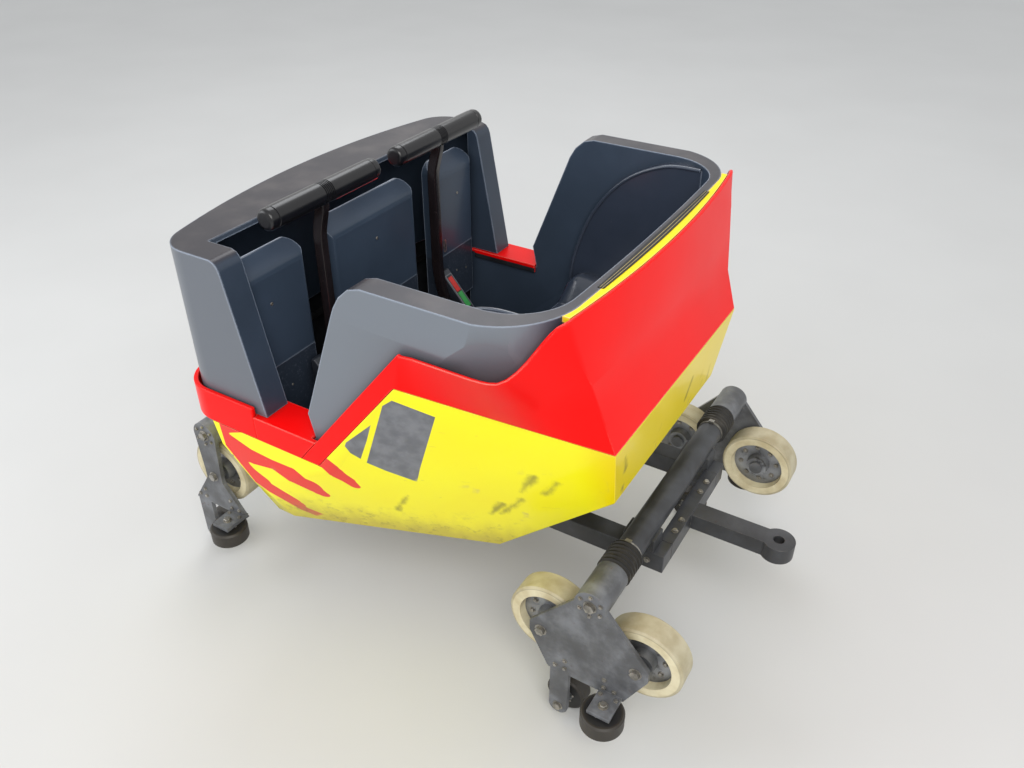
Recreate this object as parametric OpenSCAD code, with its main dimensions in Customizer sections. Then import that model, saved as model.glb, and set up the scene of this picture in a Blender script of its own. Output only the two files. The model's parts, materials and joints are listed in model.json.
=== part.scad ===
// Single-row, two-seat car of a roller coaster train.
// Millimetres, +X the way it travels, +Y its left side, +Z up.
// The origin is on the ground, half way between the two coupling pins.
// Places along the car are given as x from the datum, a plane at the rear edge
// of the front bulkhead's sides. Heights of the body are given above the deck,
// which is the top of the two frame rails.

/* [Train] */
// Distance between the front and the rear coupling pin
car_pitch = 1736; // [1716:4:1756]
// Front coupling pin, ahead of the datum
front_pin_x = 446; // [440:2:456]
// Radius of the coupling pins' bores
coupling_bore_r = 15; // [12:0.5:18]
// Outer radius of the coupling eye and fork
coupling_eye_r = 45; // [38:1:50]
// Thickness of the rear coupling eye
coupling_eye_t = 50; // [40:2:54]

/* [Wheels] */
// Diameter of the tube that the wheels run on
rail_d = 100; // [90:2:110]
// Half the track gauge, to the middle of a tube
half_gauge = 450; // [440:2:460]
// Diameter of a running wheel
running_d = 224; // [210:2:230]
// Width of a running wheel
running_w = 70; // [60:2:74]
// Diameter of an up-stop wheel
upstop_d = 114; // [104:2:120]
// Width of an up-stop wheel
upstop_w = 50; // [40:2:56]
// Diameter of a side wheel
side_d = 116; // [104:2:120]
// Width of a side wheel
side_w = 50; // [40:2:56]
// Radius of the pins that the wheels turn on
wheel_pin_r = 12; // [10:0.5:14]
// Running clearance of a wheel or lap bar on its pin, on the radius
pin_play = 0.05; // [0.02:0.01:0.1]
// Clearance of the up-stop and side wheels from the tube
rail_play = 3; // [2:0.5:5]

/* [Wheel carriers] */
// Middle of the rear wheel carriers, behind the datum
rear_carrier_x = -974; // [-980:2:-970]
// Middle of the front wheel carriers, ahead of the datum
front_carrier_x = 350; // [346:1:352]
// Half the distance between the two running wheels of a rear carrier
tandem_half = 134; // [130:1:138]
// Thickness of a carrier plate
carrier_t = 14; // [10:1:16]
// Offset of a side wheel and of an up-stop wheel from the carrier's middle
carrier_arm_x = 75; // [72:1:78]
// Outer radius of an axle tube
axle_r = 36; // [32:1:38]
// Outer radius of a rubber gaiter
gaiter_r = 47; // [44:1:50]

/* [Frame] */
// Height of a frame rail
rail_h = 60; // [50:2:62]
// Width of a frame rail
rail_w = 60; // [50:2:70]
// Middle of a frame rail, out from the centre line
rail_y = 200; // [190:2:210]

/* [Body] */
// Half the body's greatest width
body_half_w = 627; // [622:1:632]
// Wall of the moulded body panels
body_wall = 10; // [8:1:12]
// Clearance of the seat tub inside the body panels
tub_gap = 3; // [2:0.5:5]
// Height of the step at the entry notch
sill_h = 323; // [315:1:330]
// Height of the seat tub's rim
rim_h = 793; // [785:1:800]
// Height of the front bulkhead
bulkhead_h = 754; // [746:1:762]
// How far the front bulkhead's sides stand in from the body's sides
bulkhead_inset = 17; // [16:1:26]
// Thickness of the bulkhead's side wings
wing_t = 79; // [70:1:80]

/* [Seats] */
// Breadth of the tub's rim along its sides
rim_w = 69; // [66:1:74]
// Skin of the seat tub and of the seat shell
tub_skin = 14; // [12:1:16]
// Height of the seat pan above the floor
seat_h = 260; // [250:1:264]

/* [Lap bars] */
// Middle of a lap bar's post, out from the centre line
post_y = 263; // [258:1:268]
// Section of a lap bar's post
post_w = 38; // [34:1:40]
// Height of a lap bar's pivot
pivot_h = 144; // [140:1:150]
// Height of a lap bar's grip
grip_h = 816; // [812:1:822]
// Radius of a grip
grip_r = 30; // [26:1:32]
// Length of a grip
grip_len = 428; // [400:2:432]

/* [Hidden] */
$fn = 64;
fit = 0.3;

// Levels, from the ground up
rail_bottom = upstop_d + rail_play;
rail_top = rail_bottom + rail_d;
running_z = rail_top + running_d / 2;
upstop_z = upstop_d / 2;
side_z = rail_bottom + rail_d / 2;
hub_r = axle_r + 8;
axle_z = rail_top + running_d + hub_r + 7;
saddle_t = 6;
deck = axle_z - axle_r - saddle_t;
frame_z = deck - rail_h;
coupling_z = deck - rail_h / 2;
floor_t = 12;
floor_z = deck + floor_t;
sill_z = deck + sill_h;
rim_z = deck + rim_h;
bulkhead_z = deck + bulkhead_h;
base_drop = rail_h + body_wall + fit;
body_base = deck - base_drop;
band_z = sill_z - 73;
seat_z = floor_z + seat_h;
pivot_z = deck + pivot_h;
grip_z = deck + grip_h;

// Places along the car
rear_pin_x = front_pin_x - car_pitch;
origin_x = -(front_pin_x + rear_pin_x) / 2;
frame_front_x = front_carrier_x + 50;
frame_rear_x = rear_carrier_x - 76;
rear_x = -905;
tub_rear_x = -866;
seat_back_x = -840;
band_front_x = 320;
band_rear_x = -27;
bulkhead_front_x = 298;
bulkhead_face_x = 78;
pad_face_x = 30;
pivot_x = -45;
grip_x = -22;
seat_front_x = -372;
tub_half_w = body_half_w - 26;
rim_inner_half_w = tub_half_w - rim_w;
bulkhead_half_w = body_half_w - bulkhead_inset;
wing_in_y = bulkhead_half_w - wing_t;
// Beyond the body on either side, for the profiles that cut it
wide = body_half_w + 73;

// Wheel carriers: name, middle, side, places of the running wheels
CORNERS = [
    ["rear_left", rear_carrier_x, 1, [["a", -tandem_half], ["b", tandem_half]]],
    ["rear_right", rear_carrier_x, -1, [["a", -tandem_half], ["b", tandem_half]]],
    ["front_left", front_carrier_x, 1, [["a", 0]]],
    ["front_right", front_carrier_x, -1, [["a", 0]]],
];
// Axles: name, middle
AXLES = [["rear", rear_carrier_x], ["front", front_carrier_x]];
// Sides: name, sign
SIDES = [["left", 1], ["right", -1]];
// Knee pads: name, middle, half width
pad_half_w = 196;
outer_pad_half_w = 110;
outer_pad_y = wing_in_y - 10 - outer_pad_half_w;
PADS = [["left", outer_pad_y, outer_pad_half_w], ["centre", 0, pad_half_w],
        ["right", -outer_pad_y, outer_pad_half_w]];

// Corners of the moulded body, left side: x, y, height above the deck,
// and the way each moves for one millimetre of inset
FORM = [
    [-511, body_half_w, 584, 0, -1, 0],
    [-961, 403, 424, 1, -0.6, 0],
    [-941, 336, 222, 1.2, -0.7, 0.5],
    [-613, 350, -base_drop, 0.6, -0.9, 1],
    [-39, 560, -base_drop, 0, -1, 1],
    [20, 560, -base_drop, -0.4, -1, 1],
    [150, 430, -base_drop, -0.9, -0.6, 1],
    [190, 200, -base_drop, -1, -0.1, 1],
    [-10, body_half_w, 84, 0, -1, 0.4],
    [20, body_half_w, 84, -0.4, -1, 0.4],
    [120, body_half_w, 178, -0.5, -1, 0.2],
    [215, 500, 84, -1, -0.6, 0.3],
    [264, 280, 84, -1, -0.1, 0.3],
    [282, 110, 84, -1, 0, 0.3],
    [160, body_half_w, 334, -0.5, -1, 0],
    [band_front_x - 88, 578, 334, -0.9, -0.8, 0],
    [band_front_x - 27, 330, 334, -1, -0.1, 0],
    [band_front_x - 4, 110, 334, -1, 0, 0],
];
rear_corner = 1;
// The same at the rim, where the cowl ends
RIM = [
    [-200, body_half_w - 11, rim_h, 0, -1, 0],
    [-760, body_half_w - 11, rim_h, 0.4, -1, 0],
    [-905, 470, rim_h, 1, -0.4, 0],
];
// For the lower body alone: its full flank, and upright sides above the waist
FLANK = [
    [-300, body_half_w, 250, 0, -1, 0.2],
    [-511, body_half_w, rim_h, 0, -1, 0],
    [-961, 403, rim_h, 1, -0.6, 0],
];
top_half_w = body_half_w - 11;

// Radii seen from above: the rear corner, and the bow across the back
cowl_corner_r = 160;
cowl_bow_r = 3560;
cowl_bulge_r = 2850;
// The tub draws in by this much more than its gap, because the cowl's sides are hollow there
tub_ease = 7;
tub_corner_r = 200;
tub_bow_r = 9000;
front_bow_r = 2200;
bulkhead_corner_r = 100;
band_corner_r = 112;
hollow_corner_r = 150;

// Puts a piece modelled from the datum into the part's own frame
module placed() {
    translate([origin_x, 0, 0]) children();
}

// Mirrors a piece modelled on the left side when side is -1
module on_side(side) {
    mirror([0, side < 0 ? 1 : 0, 0]) children();
}

// A box given by its low and high corners
module box(low, high) {
    translate(low) cube(high - low);
}

// A profile drawn in x and z, as thick as from y0 to y1
module side_profile(points, y0, y1) {
    translate([0, y1, 0]) rotate([90, 0, 0]) linear_extrude(y1 - y0) polygon(points);
}

// A cylinder along Y
module pin_y(x, z, y0, y1, r) {
    translate([x, y0, z]) rotate([-90, 0, 0]) cylinder(h = y1 - y0, r = r);
}

// Outline of a strip of an even width along a chain of points, with mitred bends
function unit(v) = v / norm(v);
function way(points, i) = unit(points[min(i + 1, len(points) - 1)] - points[min(i, len(points) - 2)]);
function mitre(points, i) = let (a = way(points, max(i - 1, 0)), b = way(points, i), m = unit(a + b))
    [-m[1], m[0]] / (m * a);
function strip_side(points, offset) = [for (i = [0 : len(points) - 1]) points[i] + offset * mitre(points, i)];
function reversed(list) = [for (i = [len(list) - 1 : -1 : 0]) list[i]];
function strip(points, w) = concat(strip_side(points, w / 2), reversed(strip_side(points, -w / 2)));

// Points along a smooth curve through a chain of points
function curve_at(points, i, u) = let (n = len(points) - 1, a = points[max(i - 1, 0)], b = points[i],
        c = points[i + 1], d = points[min(i + 2, n)])
    b + 0.5 * u * ((c - a) + u * ((2 * a - 5 * b + 4 * c - d) + u * (3 * b - a - 3 * c + d)));
function curve(points, steps) = concat([for (i = [0 : len(points) - 2], k = [0 : steps - 1])
    curve_at(points, i, k / steps)], [points[len(points) - 1]]);

// A bow across the back and round rear corners that run smoothly into it and the sides
function corner_x(half_w, rear, r, bow) =
    rear + bow - sqrt(pow(bow - r, 2) - pow(half_w - r, 2));
function corner_end(half_w, r, bow) = 180 - asin((half_w - r) / (bow - r));

module plan_outline(half_w, rear, r, bow, front) {
    cx = corner_x(half_w, rear, r, bow);
    reach = 1.2 * bow / (bow - r);
    apex = [rear + bow, 0];
    union() {
        translate([cx, -half_w]) square([front - cx, 2 * half_w]);
        for (s = [-1, 1]) translate([cx, s * (half_w - r)]) circle(r = r, $fn = 360);
        intersection() {
            translate(apex) circle(r = bow, $fn = 3600);
            polygon([apex, apex + reach * ([cx, half_w - r] - apex), apex + reach * ([cx, r - half_w] - apex)]);
        }
    }
}

// The same, facing forward
module front_outline(half_w, front, r, rear) {
    mirror([1, 0]) plan_outline(half_w, -front, r, front_bow_r, -rear);
}

// The closed form that the outer panels follow, drawn in by an inset,
// and by more at the waist's rear corner, where the cowl has its knee
module form(inset, corner_inset = 0, tops = RIM) {
    points = [for (i = [0 : len(FORM) + len(tops) - 1], s = [-1, 1])
        let (p = i < len(FORM) ? FORM[i] : tops[i - len(FORM)], d = inset + (i == rear_corner ? corner_inset : 0))
        [p[0] + d * p[3], s * (p[1] + d * p[4]), deck + p[2] + d * p[5]]];
    hull() polyhedron(points, [for (i = [0 : len(points) - 3]) [i, i + 1, i + 2]]);
}

// The hollow of the seat tub
module tub_hollow(clear) {
    intersection() {
        form(body_wall + tub_gap + tub_ease + tub_skin + clear, knee_depth);
        translate([0, 0, floor_z - 1]) linear_extrude(rim_z - floor_z + 3)
            plan_outline(rim_inner_half_w - clear, seat_back_x + clear, hollow_corner_r - clear, tub_bow_r,
                bulkhead_face_x);
    }
}

// Edges seen from the side: where the yellow meets the red, and the notch
edge_slope = 1.24;
waist_front = [-511, deck + 584];
waist_rear = [-961, deck + 424];
waist_foot = [waist_front[0] + (waist_front[1] - band_z) / edge_slope, band_z];
notch_top = [-526, deck + 677];
notch_foot = [notch_top[0] + (notch_top[1] - band_z) / edge_slope, band_z];
sill_foot = notch_foot + [0.05, 0];
notch_sill_x = notch_top[0] + (notch_top[1] - sill_z) / edge_slope;
function smooth(t) = let (u = min(1, max(0, t))) u * u * (3 - 2 * u);
function waist_at(x) = waist_rear[1]
    + (x - waist_rear[0]) * (waist_front[1] - waist_rear[1]) / (waist_front[0] - waist_rear[0]);
function side_y(z) = body_half_w - (body_half_w - top_half_w)
    * max(0, z - waist_front[1]) / (rim_z - waist_front[1]);

// Columns of the cowl's left half: foot, way in at the foot, head, way in at the head.
// Feet follow the waist, heads follow the notch, the dip beside the tub and the rim.
cowl_cx = corner_x(top_half_w, rear_x, cowl_corner_r, cowl_bow_r);
cowl_end = corner_end(top_half_w, cowl_corner_r, cowl_bow_r);
waist_y = FORM[rear_corner][1];
waist_way = unit([waist_rear[0] - waist_front[0], waist_y - body_half_w]);
waist_in = [-waist_way[1], waist_way[0]];
foot_turn_x = -700;
head_rise = [106, 162];
// The cowl's wall bends outwards below this share of its height
knee_t = 0.3;
knee_depth = 24;
cowl_rows = [0, knee_t, 0.53, 0.76, 1];
waist_slope = (waist_front[1] - waist_rear[1]) / (waist_front[0] - waist_rear[0]);
function foot_at(x) = [x, body_half_w + (x - waist_front[0]) * waist_way[1] / waist_way[0], waist_at(x)];
function head_at(x, z) = [x, side_y(z), z];
function flank_column(x, head) = [foot_at(x), waist_in, head_at(head[0], head[1]), [0, -1], 0];
function corner_column(a) = let (f = (a - 90) / (cowl_end - 90),
        z = notch_top[1] + (rim_z - notch_top[1]) * smooth((a - head_rise[0]) / (head_rise[1] - head_rise[0])),
        spread = side_y(z) - top_half_w)
    [foot_at(foot_turn_x + (waist_rear[0] - foot_turn_x) * f), waist_in,
     [cowl_cx + (cowl_corner_r + spread) * cos(a),
      top_half_w - cowl_corner_r + (cowl_corner_r + spread) * sin(a), z], [-cos(a), -sin(a)],
     knee_depth * smooth(f)];
function rear_column(f) = let (y = f * (top_half_w - cowl_corner_r) * cowl_bow_r / (cowl_bow_r - cowl_corner_r))
    [[waist_rear[0], f * waist_y, waist_rear[1]], [1, 0],
     [rear_x + cowl_bow_r - sqrt(pow(cowl_bow_r, 2) - y * y), y, rim_z], [1, 0], knee_depth];
cowl_half = concat(
    [for (t = [0, 0.5, 1]) let (foot = waist_foot + t * (waist_front - waist_foot),
            head = notch_foot + t * (notch_top - notch_foot))
        [[foot[0], body_half_w, foot[1]], t == 1 ? unit([0, -1] + waist_in) : [0, -1],
         head_at(head[0], head[1]), [0, -1], 0]],
    [flank_column(waist_front[0] - 12, notch_top + [-6, -3]), flank_column(-560, [-560, notch_top[1]]),
     flank_column(-630, [-635, notch_top[1]])],
    [for (i = [0 : 12]) corner_column(90 + (cowl_end - 90) * i / 12)],
    [for (f = [0.72, 0.36]) rear_column(f)]
);
function mirrored(column) = [for (p = column) is_num(p) ? p : len(p) == 3 ? [p[0], -p[1], p[2]] : [p[0], -p[1]]];
cowl_columns = concat(cowl_half, [rear_column(0)], [for (c = reversed(cowl_half)) mirrored(c)]);

// Points of a shell lofted between feet and heads, bulging outwards at a radius
// and drawn in at a knee by the depth that each column gives
function loft_row(columns, t, wall, bulge_r) = [for (c = columns)
    let (way = unit(c[1] + t * (c[3] - c[1])), rise = c[2] - c[0],
        out = wall - t * (1 - t) * rise * rise / (2 * bulge_r) + c[4] * min(t / knee_t, (1 - t) / (1 - knee_t)))
    c[0] + t * rise + [way[0] * out, way[1] * out, (fit + waist_slope * way[0] * out) * (1 - t)]];
module loft_shell(columns, wall, bulge_r) {
    n = len(columns);
    rows = len(cowl_rows) - 1;
    points = [for (k = [0, 1]) for (t = cowl_rows) each loft_row(columns, t, k * wall, bulge_r)];
    inner = (rows + 1) * n;
    top = rows * n;
    polyhedron(points, concat(
        [for (i = [0 : rows - 1], j = [0 : n - 2]) each let (a = i * n + j)
            [[a, a + n, a + 1], [a + 1, a + n, a + n + 1],
             [inner + a, inner + a + 1, inner + a + n], [inner + a + 1, inner + a + n + 1, inner + a + n]]],
        [for (j = [0 : n - 2]) each [[j, j + 1, inner + j + 1], [j, inner + j + 1, inner + j],
            [top + j, inner + top + j, inner + top + j + 1], [top + j, inner + top + j + 1, top + j + 1]]],
        [for (i = [0 : rows - 1]) each let (a = i * n, b = i * n + n - 1)
            [[a, inner + a, inner + a + n], [a, inner + a + n, a + n],
             [b, b + n, inner + b + n], [b, inner + b + n, inner + b]]]
    ));
}

// Frame

module frame_rail(side) {
    color("dimgray") on_side(side)
        box([frame_rear_x, rail_y - rail_w / 2, frame_z], [frame_front_x, rail_y + rail_w / 2, deck]);
}

module cross_members() {
    in_y = rail_y - rail_w / 2;
    color("dimgray") for (x = [-560, -120, 98])
        box([x - 30, -in_y, frame_z], [x + 30, in_y, deck]);
}

module front_coupling() {
    in_y = rail_y - rail_w / 2;
    cheek = 16;
    gap = coupling_eye_t + 6;
    color("dimgray") difference() {
        union() {
            box([frame_front_x - 40, -in_y, frame_z], [frame_front_x, in_y, deck]);
            for (s = [-1, 1]) translate([0, 0, coupling_z + s * (gap + cheek) / 2 - cheek / 2]) {
                translate([front_pin_x, 0, 0]) cylinder(h = cheek, r = coupling_eye_r);
                box([frame_front_x - 12, -coupling_eye_r, 0], [front_pin_x, coupling_eye_r, cheek]);
            }
        }
        translate([front_pin_x, 0, frame_z - 100]) cylinder(h = 300, r = coupling_bore_r);
    }
}

module rear_coupling() {
    in_y = rail_y - rail_w / 2;
    color("dimgray") difference() {
        union() {
            box([frame_rear_x, -in_y, frame_z], [frame_rear_x + 40, in_y, deck]);
            translate([0, 0, coupling_z - coupling_eye_t / 2]) {
                box([rear_pin_x, -30, 0], [frame_rear_x + 1, 30, coupling_eye_t]);
                translate([rear_pin_x, 0, 0]) cylinder(h = coupling_eye_t, r = coupling_eye_r);
            }
        }
        translate([rear_pin_x, 0, frame_z - 100]) cylinder(h = 300, r = coupling_bore_r);
    }
}

// Wheel carriers

axle_half = 392;
plate_y = half_gauge + rail_d / 2 + rail_play;

module axle(x) {
    color("dimgray") {
        pin_y(x, axle_z, -axle_half, axle_half, axle_r);
        for (s = [-1, 1]) on_side(s)
            box([x - 45, rail_y - rail_w / 2, deck], [x + 45, rail_y + rail_w / 2, axle_z]);
    }
}

module gaiter(x, side) {
    ribs = 6;
    length = 84;
    step = length / ribs;
    profile = concat(
        [[axle_r + fit, 0]],
        [for (i = [0 : ribs - 1]) for (q = [[gaiter_r - 7, 0.05], [gaiter_r, 0.35], [gaiter_r, 0.65],
            [gaiter_r - 7, 0.95]]) [q[0], (i + q[1]) * step]],
        [[axle_r + fit, length]]
    );
    color([0.1, 0.1, 0.1]) on_side(side) translate([x, axle_half - length - 2, axle_z])
        rotate([-90, 0, 0]) rotate_extrude() polygon(profile);
}

module wheel_pin(x, z, y_in) {
    pin_y(x, z, y_in, plate_y + 1, wheel_pin_r);
}

// Plate, hub, brackets and pins of one wheel carrier, on the left side
module carrier(x, side, wheels) {
    reach = wheels[0][1] == 0 ? 0 : tandem_half;
    foot = carrier_arm_x + 35;
    y_out = plate_y + carrier_t;
    plate_z = side_z + side_w / 2 + 8;
    side_y = half_gauge + rail_d / 2 + rail_play + side_d / 2;
    color([0.35, 0.35, 0.37]) on_side(side) translate([x, 0, 0]) {
        side_profile([[-foot, plate_z], [foot, plate_z], [reach + 34, running_z - 16],
            [reach + 34, running_z + 18], [hub_r, axle_z], [-hub_r, axle_z],
            [-reach - 34, running_z + 18], [-reach - 34, running_z - 16]], plate_y, y_out);
        pin_y(0, axle_z, axle_half, y_out, hub_r);
        for (w = wheels) {
            wheel_pin(w[1], running_z, half_gauge - running_w / 2 - 9);
            pin_y(w[1], running_z, half_gauge + running_w / 2 + 0.5, plate_y, wheel_pin_r + 8);
            pin_y(w[1], running_z, half_gauge - running_w / 2 - 9,
                half_gauge - running_w / 2 - 0.5, wheel_pin_r + 8);
        }
        side_profile([[carrier_arm_x - 28, upstop_z], [carrier_arm_x + 28, upstop_z],
            [carrier_arm_x + 28, plate_z + 1], [carrier_arm_x - 28, plate_z + 1]], plate_y, y_out);
        pin_y(carrier_arm_x, upstop_z, plate_y, y_out, 28);
        wheel_pin(carrier_arm_x, upstop_z, half_gauge - upstop_w / 2 - 9);
        pin_y(carrier_arm_x, upstop_z, half_gauge + upstop_w / 2 + 0.5, plate_y, wheel_pin_r + 6);
        pin_y(carrier_arm_x, upstop_z, half_gauge - upstop_w / 2 - 9,
            half_gauge - upstop_w / 2 - 0.5, wheel_pin_r + 6);
        box([-carrier_arm_x - 32, plate_y, plate_z], [-carrier_arm_x + 32, side_y + 32, plate_z + 12]);
        translate([-carrier_arm_x, side_y, side_z - side_w / 2 - 8])
            cylinder(h = side_w + 17, r = wheel_pin_r);
        translate([-carrier_arm_x, side_y, side_z - side_w / 2 - 8])
            cylinder(h = 7.5, r = wheel_pin_r + 6);
        translate([-carrier_arm_x, side_y, side_z + side_w / 2 + 0.5])
            cylinder(h = 8, r = wheel_pin_r + 6);
    }
}

// Half profile of a wheel that is solid from bore to tread
function solid_wheel(r, w) = [[wheel_pin_r + pin_play, -w / 2], [r - 5, -w / 2], [r, -w / 2 + 5],
    [r, w / 2 - 5], [r - 5, w / 2], [wheel_pin_r + pin_play, w / 2]];

// Half profile of a wheel with a thin web between hub and rim
function web_wheel(r, w) = [[wheel_pin_r + pin_play, -w / 2], [32, -w / 2], [36, -10], [r - 34, -10],
    [r - 30, -w / 2], [r - 5, -w / 2], [r, -w / 2 + 5], [r, w / 2 - 5], [r - 5, w / 2],
    [r - 30, w / 2], [r - 34, 10], [36, 10], [32, w / 2], [wheel_pin_r + pin_play, w / 2]];

module running_wheel(x, side, offset_x) {
    color([0.85, 0.8, 0.65]) on_side(side) translate([x + offset_x, half_gauge, running_z])
        rotate([-90, 0, 0]) rotate_extrude() polygon(web_wheel(running_d / 2, running_w));
}

module upstop_wheel(x, side) {
    color([0.12, 0.12, 0.12]) on_side(side) translate([x + carrier_arm_x, half_gauge, upstop_z])
        rotate([-90, 0, 0]) rotate_extrude() polygon(solid_wheel(upstop_d / 2, upstop_w));
}

module side_wheel(x, side) {
    side_y = half_gauge + rail_d / 2 + rail_play + side_d / 2;
    color([0.12, 0.12, 0.12]) on_side(side) translate([x - carrier_arm_x, side_y, side_z])
        rotate_extrude() polygon(solid_wheel(side_d / 2, side_w));
}

// Moulded body

module lower_body() {
    slot = rail_w / 2 + 4;
    color("gold") difference() {
        intersection() {
            form(0, 0, FLANK);
            side_profile([[-1000, body_base], [-1000, waist_rear[1]], waist_rear, waist_front,
                waist_foot, [400, band_z], [400, body_base]], -wide, wide);
        }
        form(body_wall, 0, FLANK);
        box([20, -110, body_base - 1], [120, 110, frame_z + 20]);
        for (s = [-1, 1])
            box([-1000, s * rail_y - slot, frame_z - 1], [400, s * rail_y + slot, deck]);
    }
}

module floor_panel() {
    color("darkslategray") intersection() {
        form(body_wall + tub_gap);
        box([-700, -600, deck], [bulkhead_face_x, 600, floor_z]);
    }
}

// Front edge of the tub's sides at the sill
rise_x = -205;
rise_foot = [rise_x - 16, sill_z - 10];

module seat_tub() {
    top_x = -414;
    color([0.25, 0.29, 0.34]) difference() {
        intersection() {
            form(body_wall + tub_gap + tub_ease, knee_depth);
            translate([0, 0, floor_z]) linear_extrude(rim_z - floor_z)
                plan_outline(tub_half_w, tub_rear_x, tub_corner_r, tub_bow_r, bulkhead_face_x);
            side_profile([[-1000, floor_z], [60, floor_z], [60, sill_z - 10], rise_foot,
                [rise_x, sill_z + 64], [-334, rim_z - 67], [-352, rim_z - 36], [-380, rim_z - 10],
                [top_x, rim_z], [-1000, rim_z]], -wide, wide);
        }
        tub_hollow(0);
    }
}

// Top of the seat pan, front and rear
pan_front = [-400, seat_z + 6];
pan_rear = [-660, seat_z - 20];

module seat_shell() {
    back_x = seat_back_x + 4;
    wing_y = 493;
    color([0.1, 0.11, 0.13]) intersection() {
        tub_hollow(fit);
        union() {
            side_profile([[seat_front_x, floor_z + fit], [seat_front_x, seat_z], pan_front,
                pan_rear, [-705, seat_z - 7], [-735, seat_z + 38], [back_x + 14, rim_z - 38],
                [back_x, rim_z - 38], [-750, seat_z + 32], [-714, seat_z - 22], [-662, seat_z - 36],
                [-404, seat_z - 10], [seat_front_x - tub_skin, seat_z - 14],
                [seat_front_x - tub_skin, floor_z + fit]], -wide, wide);
            for (s = [-1, 1]) on_side(s)
                side_profile(concat(curve([[seat_front_x, seat_z], [-382, seat_z + 129], [-441, seat_z + 300],
                    [-540, rim_z - 92], [-663, rim_z - 24], [-776, rim_z - 14]], 5),
                    [[back_x + 14, rim_z - 38], [-735, seat_z + 38], [-705, seat_z - 7], pan_rear, pan_front]),
                    wing_y, wide);
        }
    }
}

module seat_divider() {
    low = pan_front + [-8, -0.8 + fit];
    high = pan_rear + [58, 5.8 + fit];
    color([0.1, 0.11, 0.13]) hull() {
        side_profile([low, high, high + [0, 1], low + [0, 2]], -45, 45);
        side_profile([low + [-24, 44], low + [-68, 46], high + [12, 12], low + [-20, 8]], -24, 24);
    }
}

module rear_cowl() {
    color("red") loft_shell(cowl_columns, body_wall, cowl_bulge_r);
}

// Yellow flange between the cowl and the tub's rim, widest in the middle
module cowl_flange() {
    flange_t = 14;
    in = body_wall + 1.2;
    color("yellow") intersection() {
        translate([0, 0, rim_z - flange_t]) linear_extrude(flange_t) difference() {
            plan_outline(top_half_w - in, rear_x + in, cowl_corner_r - in, cowl_bow_r, -700);
            plan_outline(tub_half_w + fit, tub_rear_x - fit, tub_corner_r, tub_bow_r, -600);
        }
        box([rear_x, -470, rim_z - 20], [rear_x + 60, 470, rim_z + 1]);
    }
}

module front_band() {
    lip = 14;
    top_z = sill_z + 27;
    color("red") difference() {
        translate([0, 0, band_z]) linear_extrude(top_z - band_z)
            front_outline(body_half_w, band_front_x, band_corner_r, band_rear_x);
        translate([0, 0, band_z - 1]) linear_extrude(top_z - band_z + 2)
            front_outline(body_half_w - lip, band_front_x - lip, band_corner_r - lip, band_rear_x - 1);
    }
}

module sill(side) {
    tray_t = 10;
    skirt = 14;
    hook = 30;
    in_x = rise_foot[0] + 3;
    in_y = rim_inner_half_w - 10;
    color("red") on_side(side) {
        box([in_x, in_y, sill_z - tray_t], [band_rear_x + 70, body_half_w - skirt, sill_z]);
        box([in_x, in_y, sill_z - hook], [pad_face_x - 2, rim_inner_half_w - fit, sill_z]);
        side_profile([sill_foot, [notch_sill_x + 0.05, sill_z], [band_rear_x, sill_z], [band_rear_x, band_z]],
            body_half_w - skirt, body_half_w);
    }
}

// Half width and lowest point of the hollows behind the lap bars' posts
post_hollow_half_w = 48;

module bulkhead() {
    wall = 14;
    top_in_x = 122;
    pad_top = bulkhead_z - 52;
    color([0.2, 0.23, 0.28]) difference() {
        union() {
            intersection() {
                translate([0, 0, sill_z]) linear_extrude(bulkhead_z - sill_z)
                    front_outline(bulkhead_half_w, bulkhead_front_x, bulkhead_corner_r, -100);
                side_profile([[-62, sill_z], [11, bulkhead_z - 31], [16, bulkhead_z - 17], [25, bulkhead_z - 6],
                    [40, bulkhead_z], [400, bulkhead_z], [400, sill_z]], -wide, wide);
            }
            intersection() {
                form(body_wall + tub_gap);
                box([bulkhead_face_x, -wing_in_y, floor_z], [top_in_x + wall, wing_in_y, sill_z + 1]);
            }
        }
        side_profile([[-101, sill_z - 1], [bulkhead_face_x, sill_z - 1], [bulkhead_face_x, pad_top],
            [bulkhead_face_x + 22, pad_top + 6], [top_in_x - 4, bulkhead_z - 12],
            [top_in_x, bulkhead_z + 1], [-101, bulkhead_z + 1]], -wing_in_y, wing_in_y);
        translate([0, 0, floor_z - 1]) linear_extrude(bulkhead_z - wall - floor_z + 1)
            front_outline(bulkhead_half_w - wall, bulkhead_front_x - wall, bulkhead_corner_r - wall,
                top_in_x + wall);
        for (s = SIDES) on_side(s[1])
            side_profile([[-34, sill_z - 1], [28, bulkhead_z - 60], [40, bulkhead_z - wall],
                [top_in_x + wall + 1, bulkhead_z - wall], [top_in_x + wall + 1, sill_z - 1]],
                wing_in_y + wall, bulkhead_half_w - wall);
        for (s = SIDES) on_side(s[1]) intersection() {
            side_profile([[0, floor_z - 1], [0, pad_top + 1], [bulkhead_face_x, pad_top - 8],
                [bulkhead_face_x + 18, pad_top - 26], [bulkhead_face_x + 24, pad_top - 60],
                [bulkhead_face_x + 24, floor_z - 1]], post_y - post_hollow_half_w, post_y + post_hollow_half_w);
            front_profile(post_y, post_hollow_half_w, floor_z - 1, pad_top + 1, 34, 0, 120);
        }
    }
}

// A panel seen from behind with round top corners, as thick as from x0 to x1
module front_profile(y, half_w, low, high, r, x0, x1) {
    translate([x0, 0, 0]) rotate([90, 0, 90]) linear_extrude(x1 - x0) {
        translate([y - half_w, low]) square([2 * half_w, high - r - low]);
        translate([y - half_w + r, low]) square([2 * (half_w - r), high - low]);
        for (s = [-1, 1]) translate([y + s * (half_w - r), high - r]) circle(r = r);
    }
}

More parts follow.
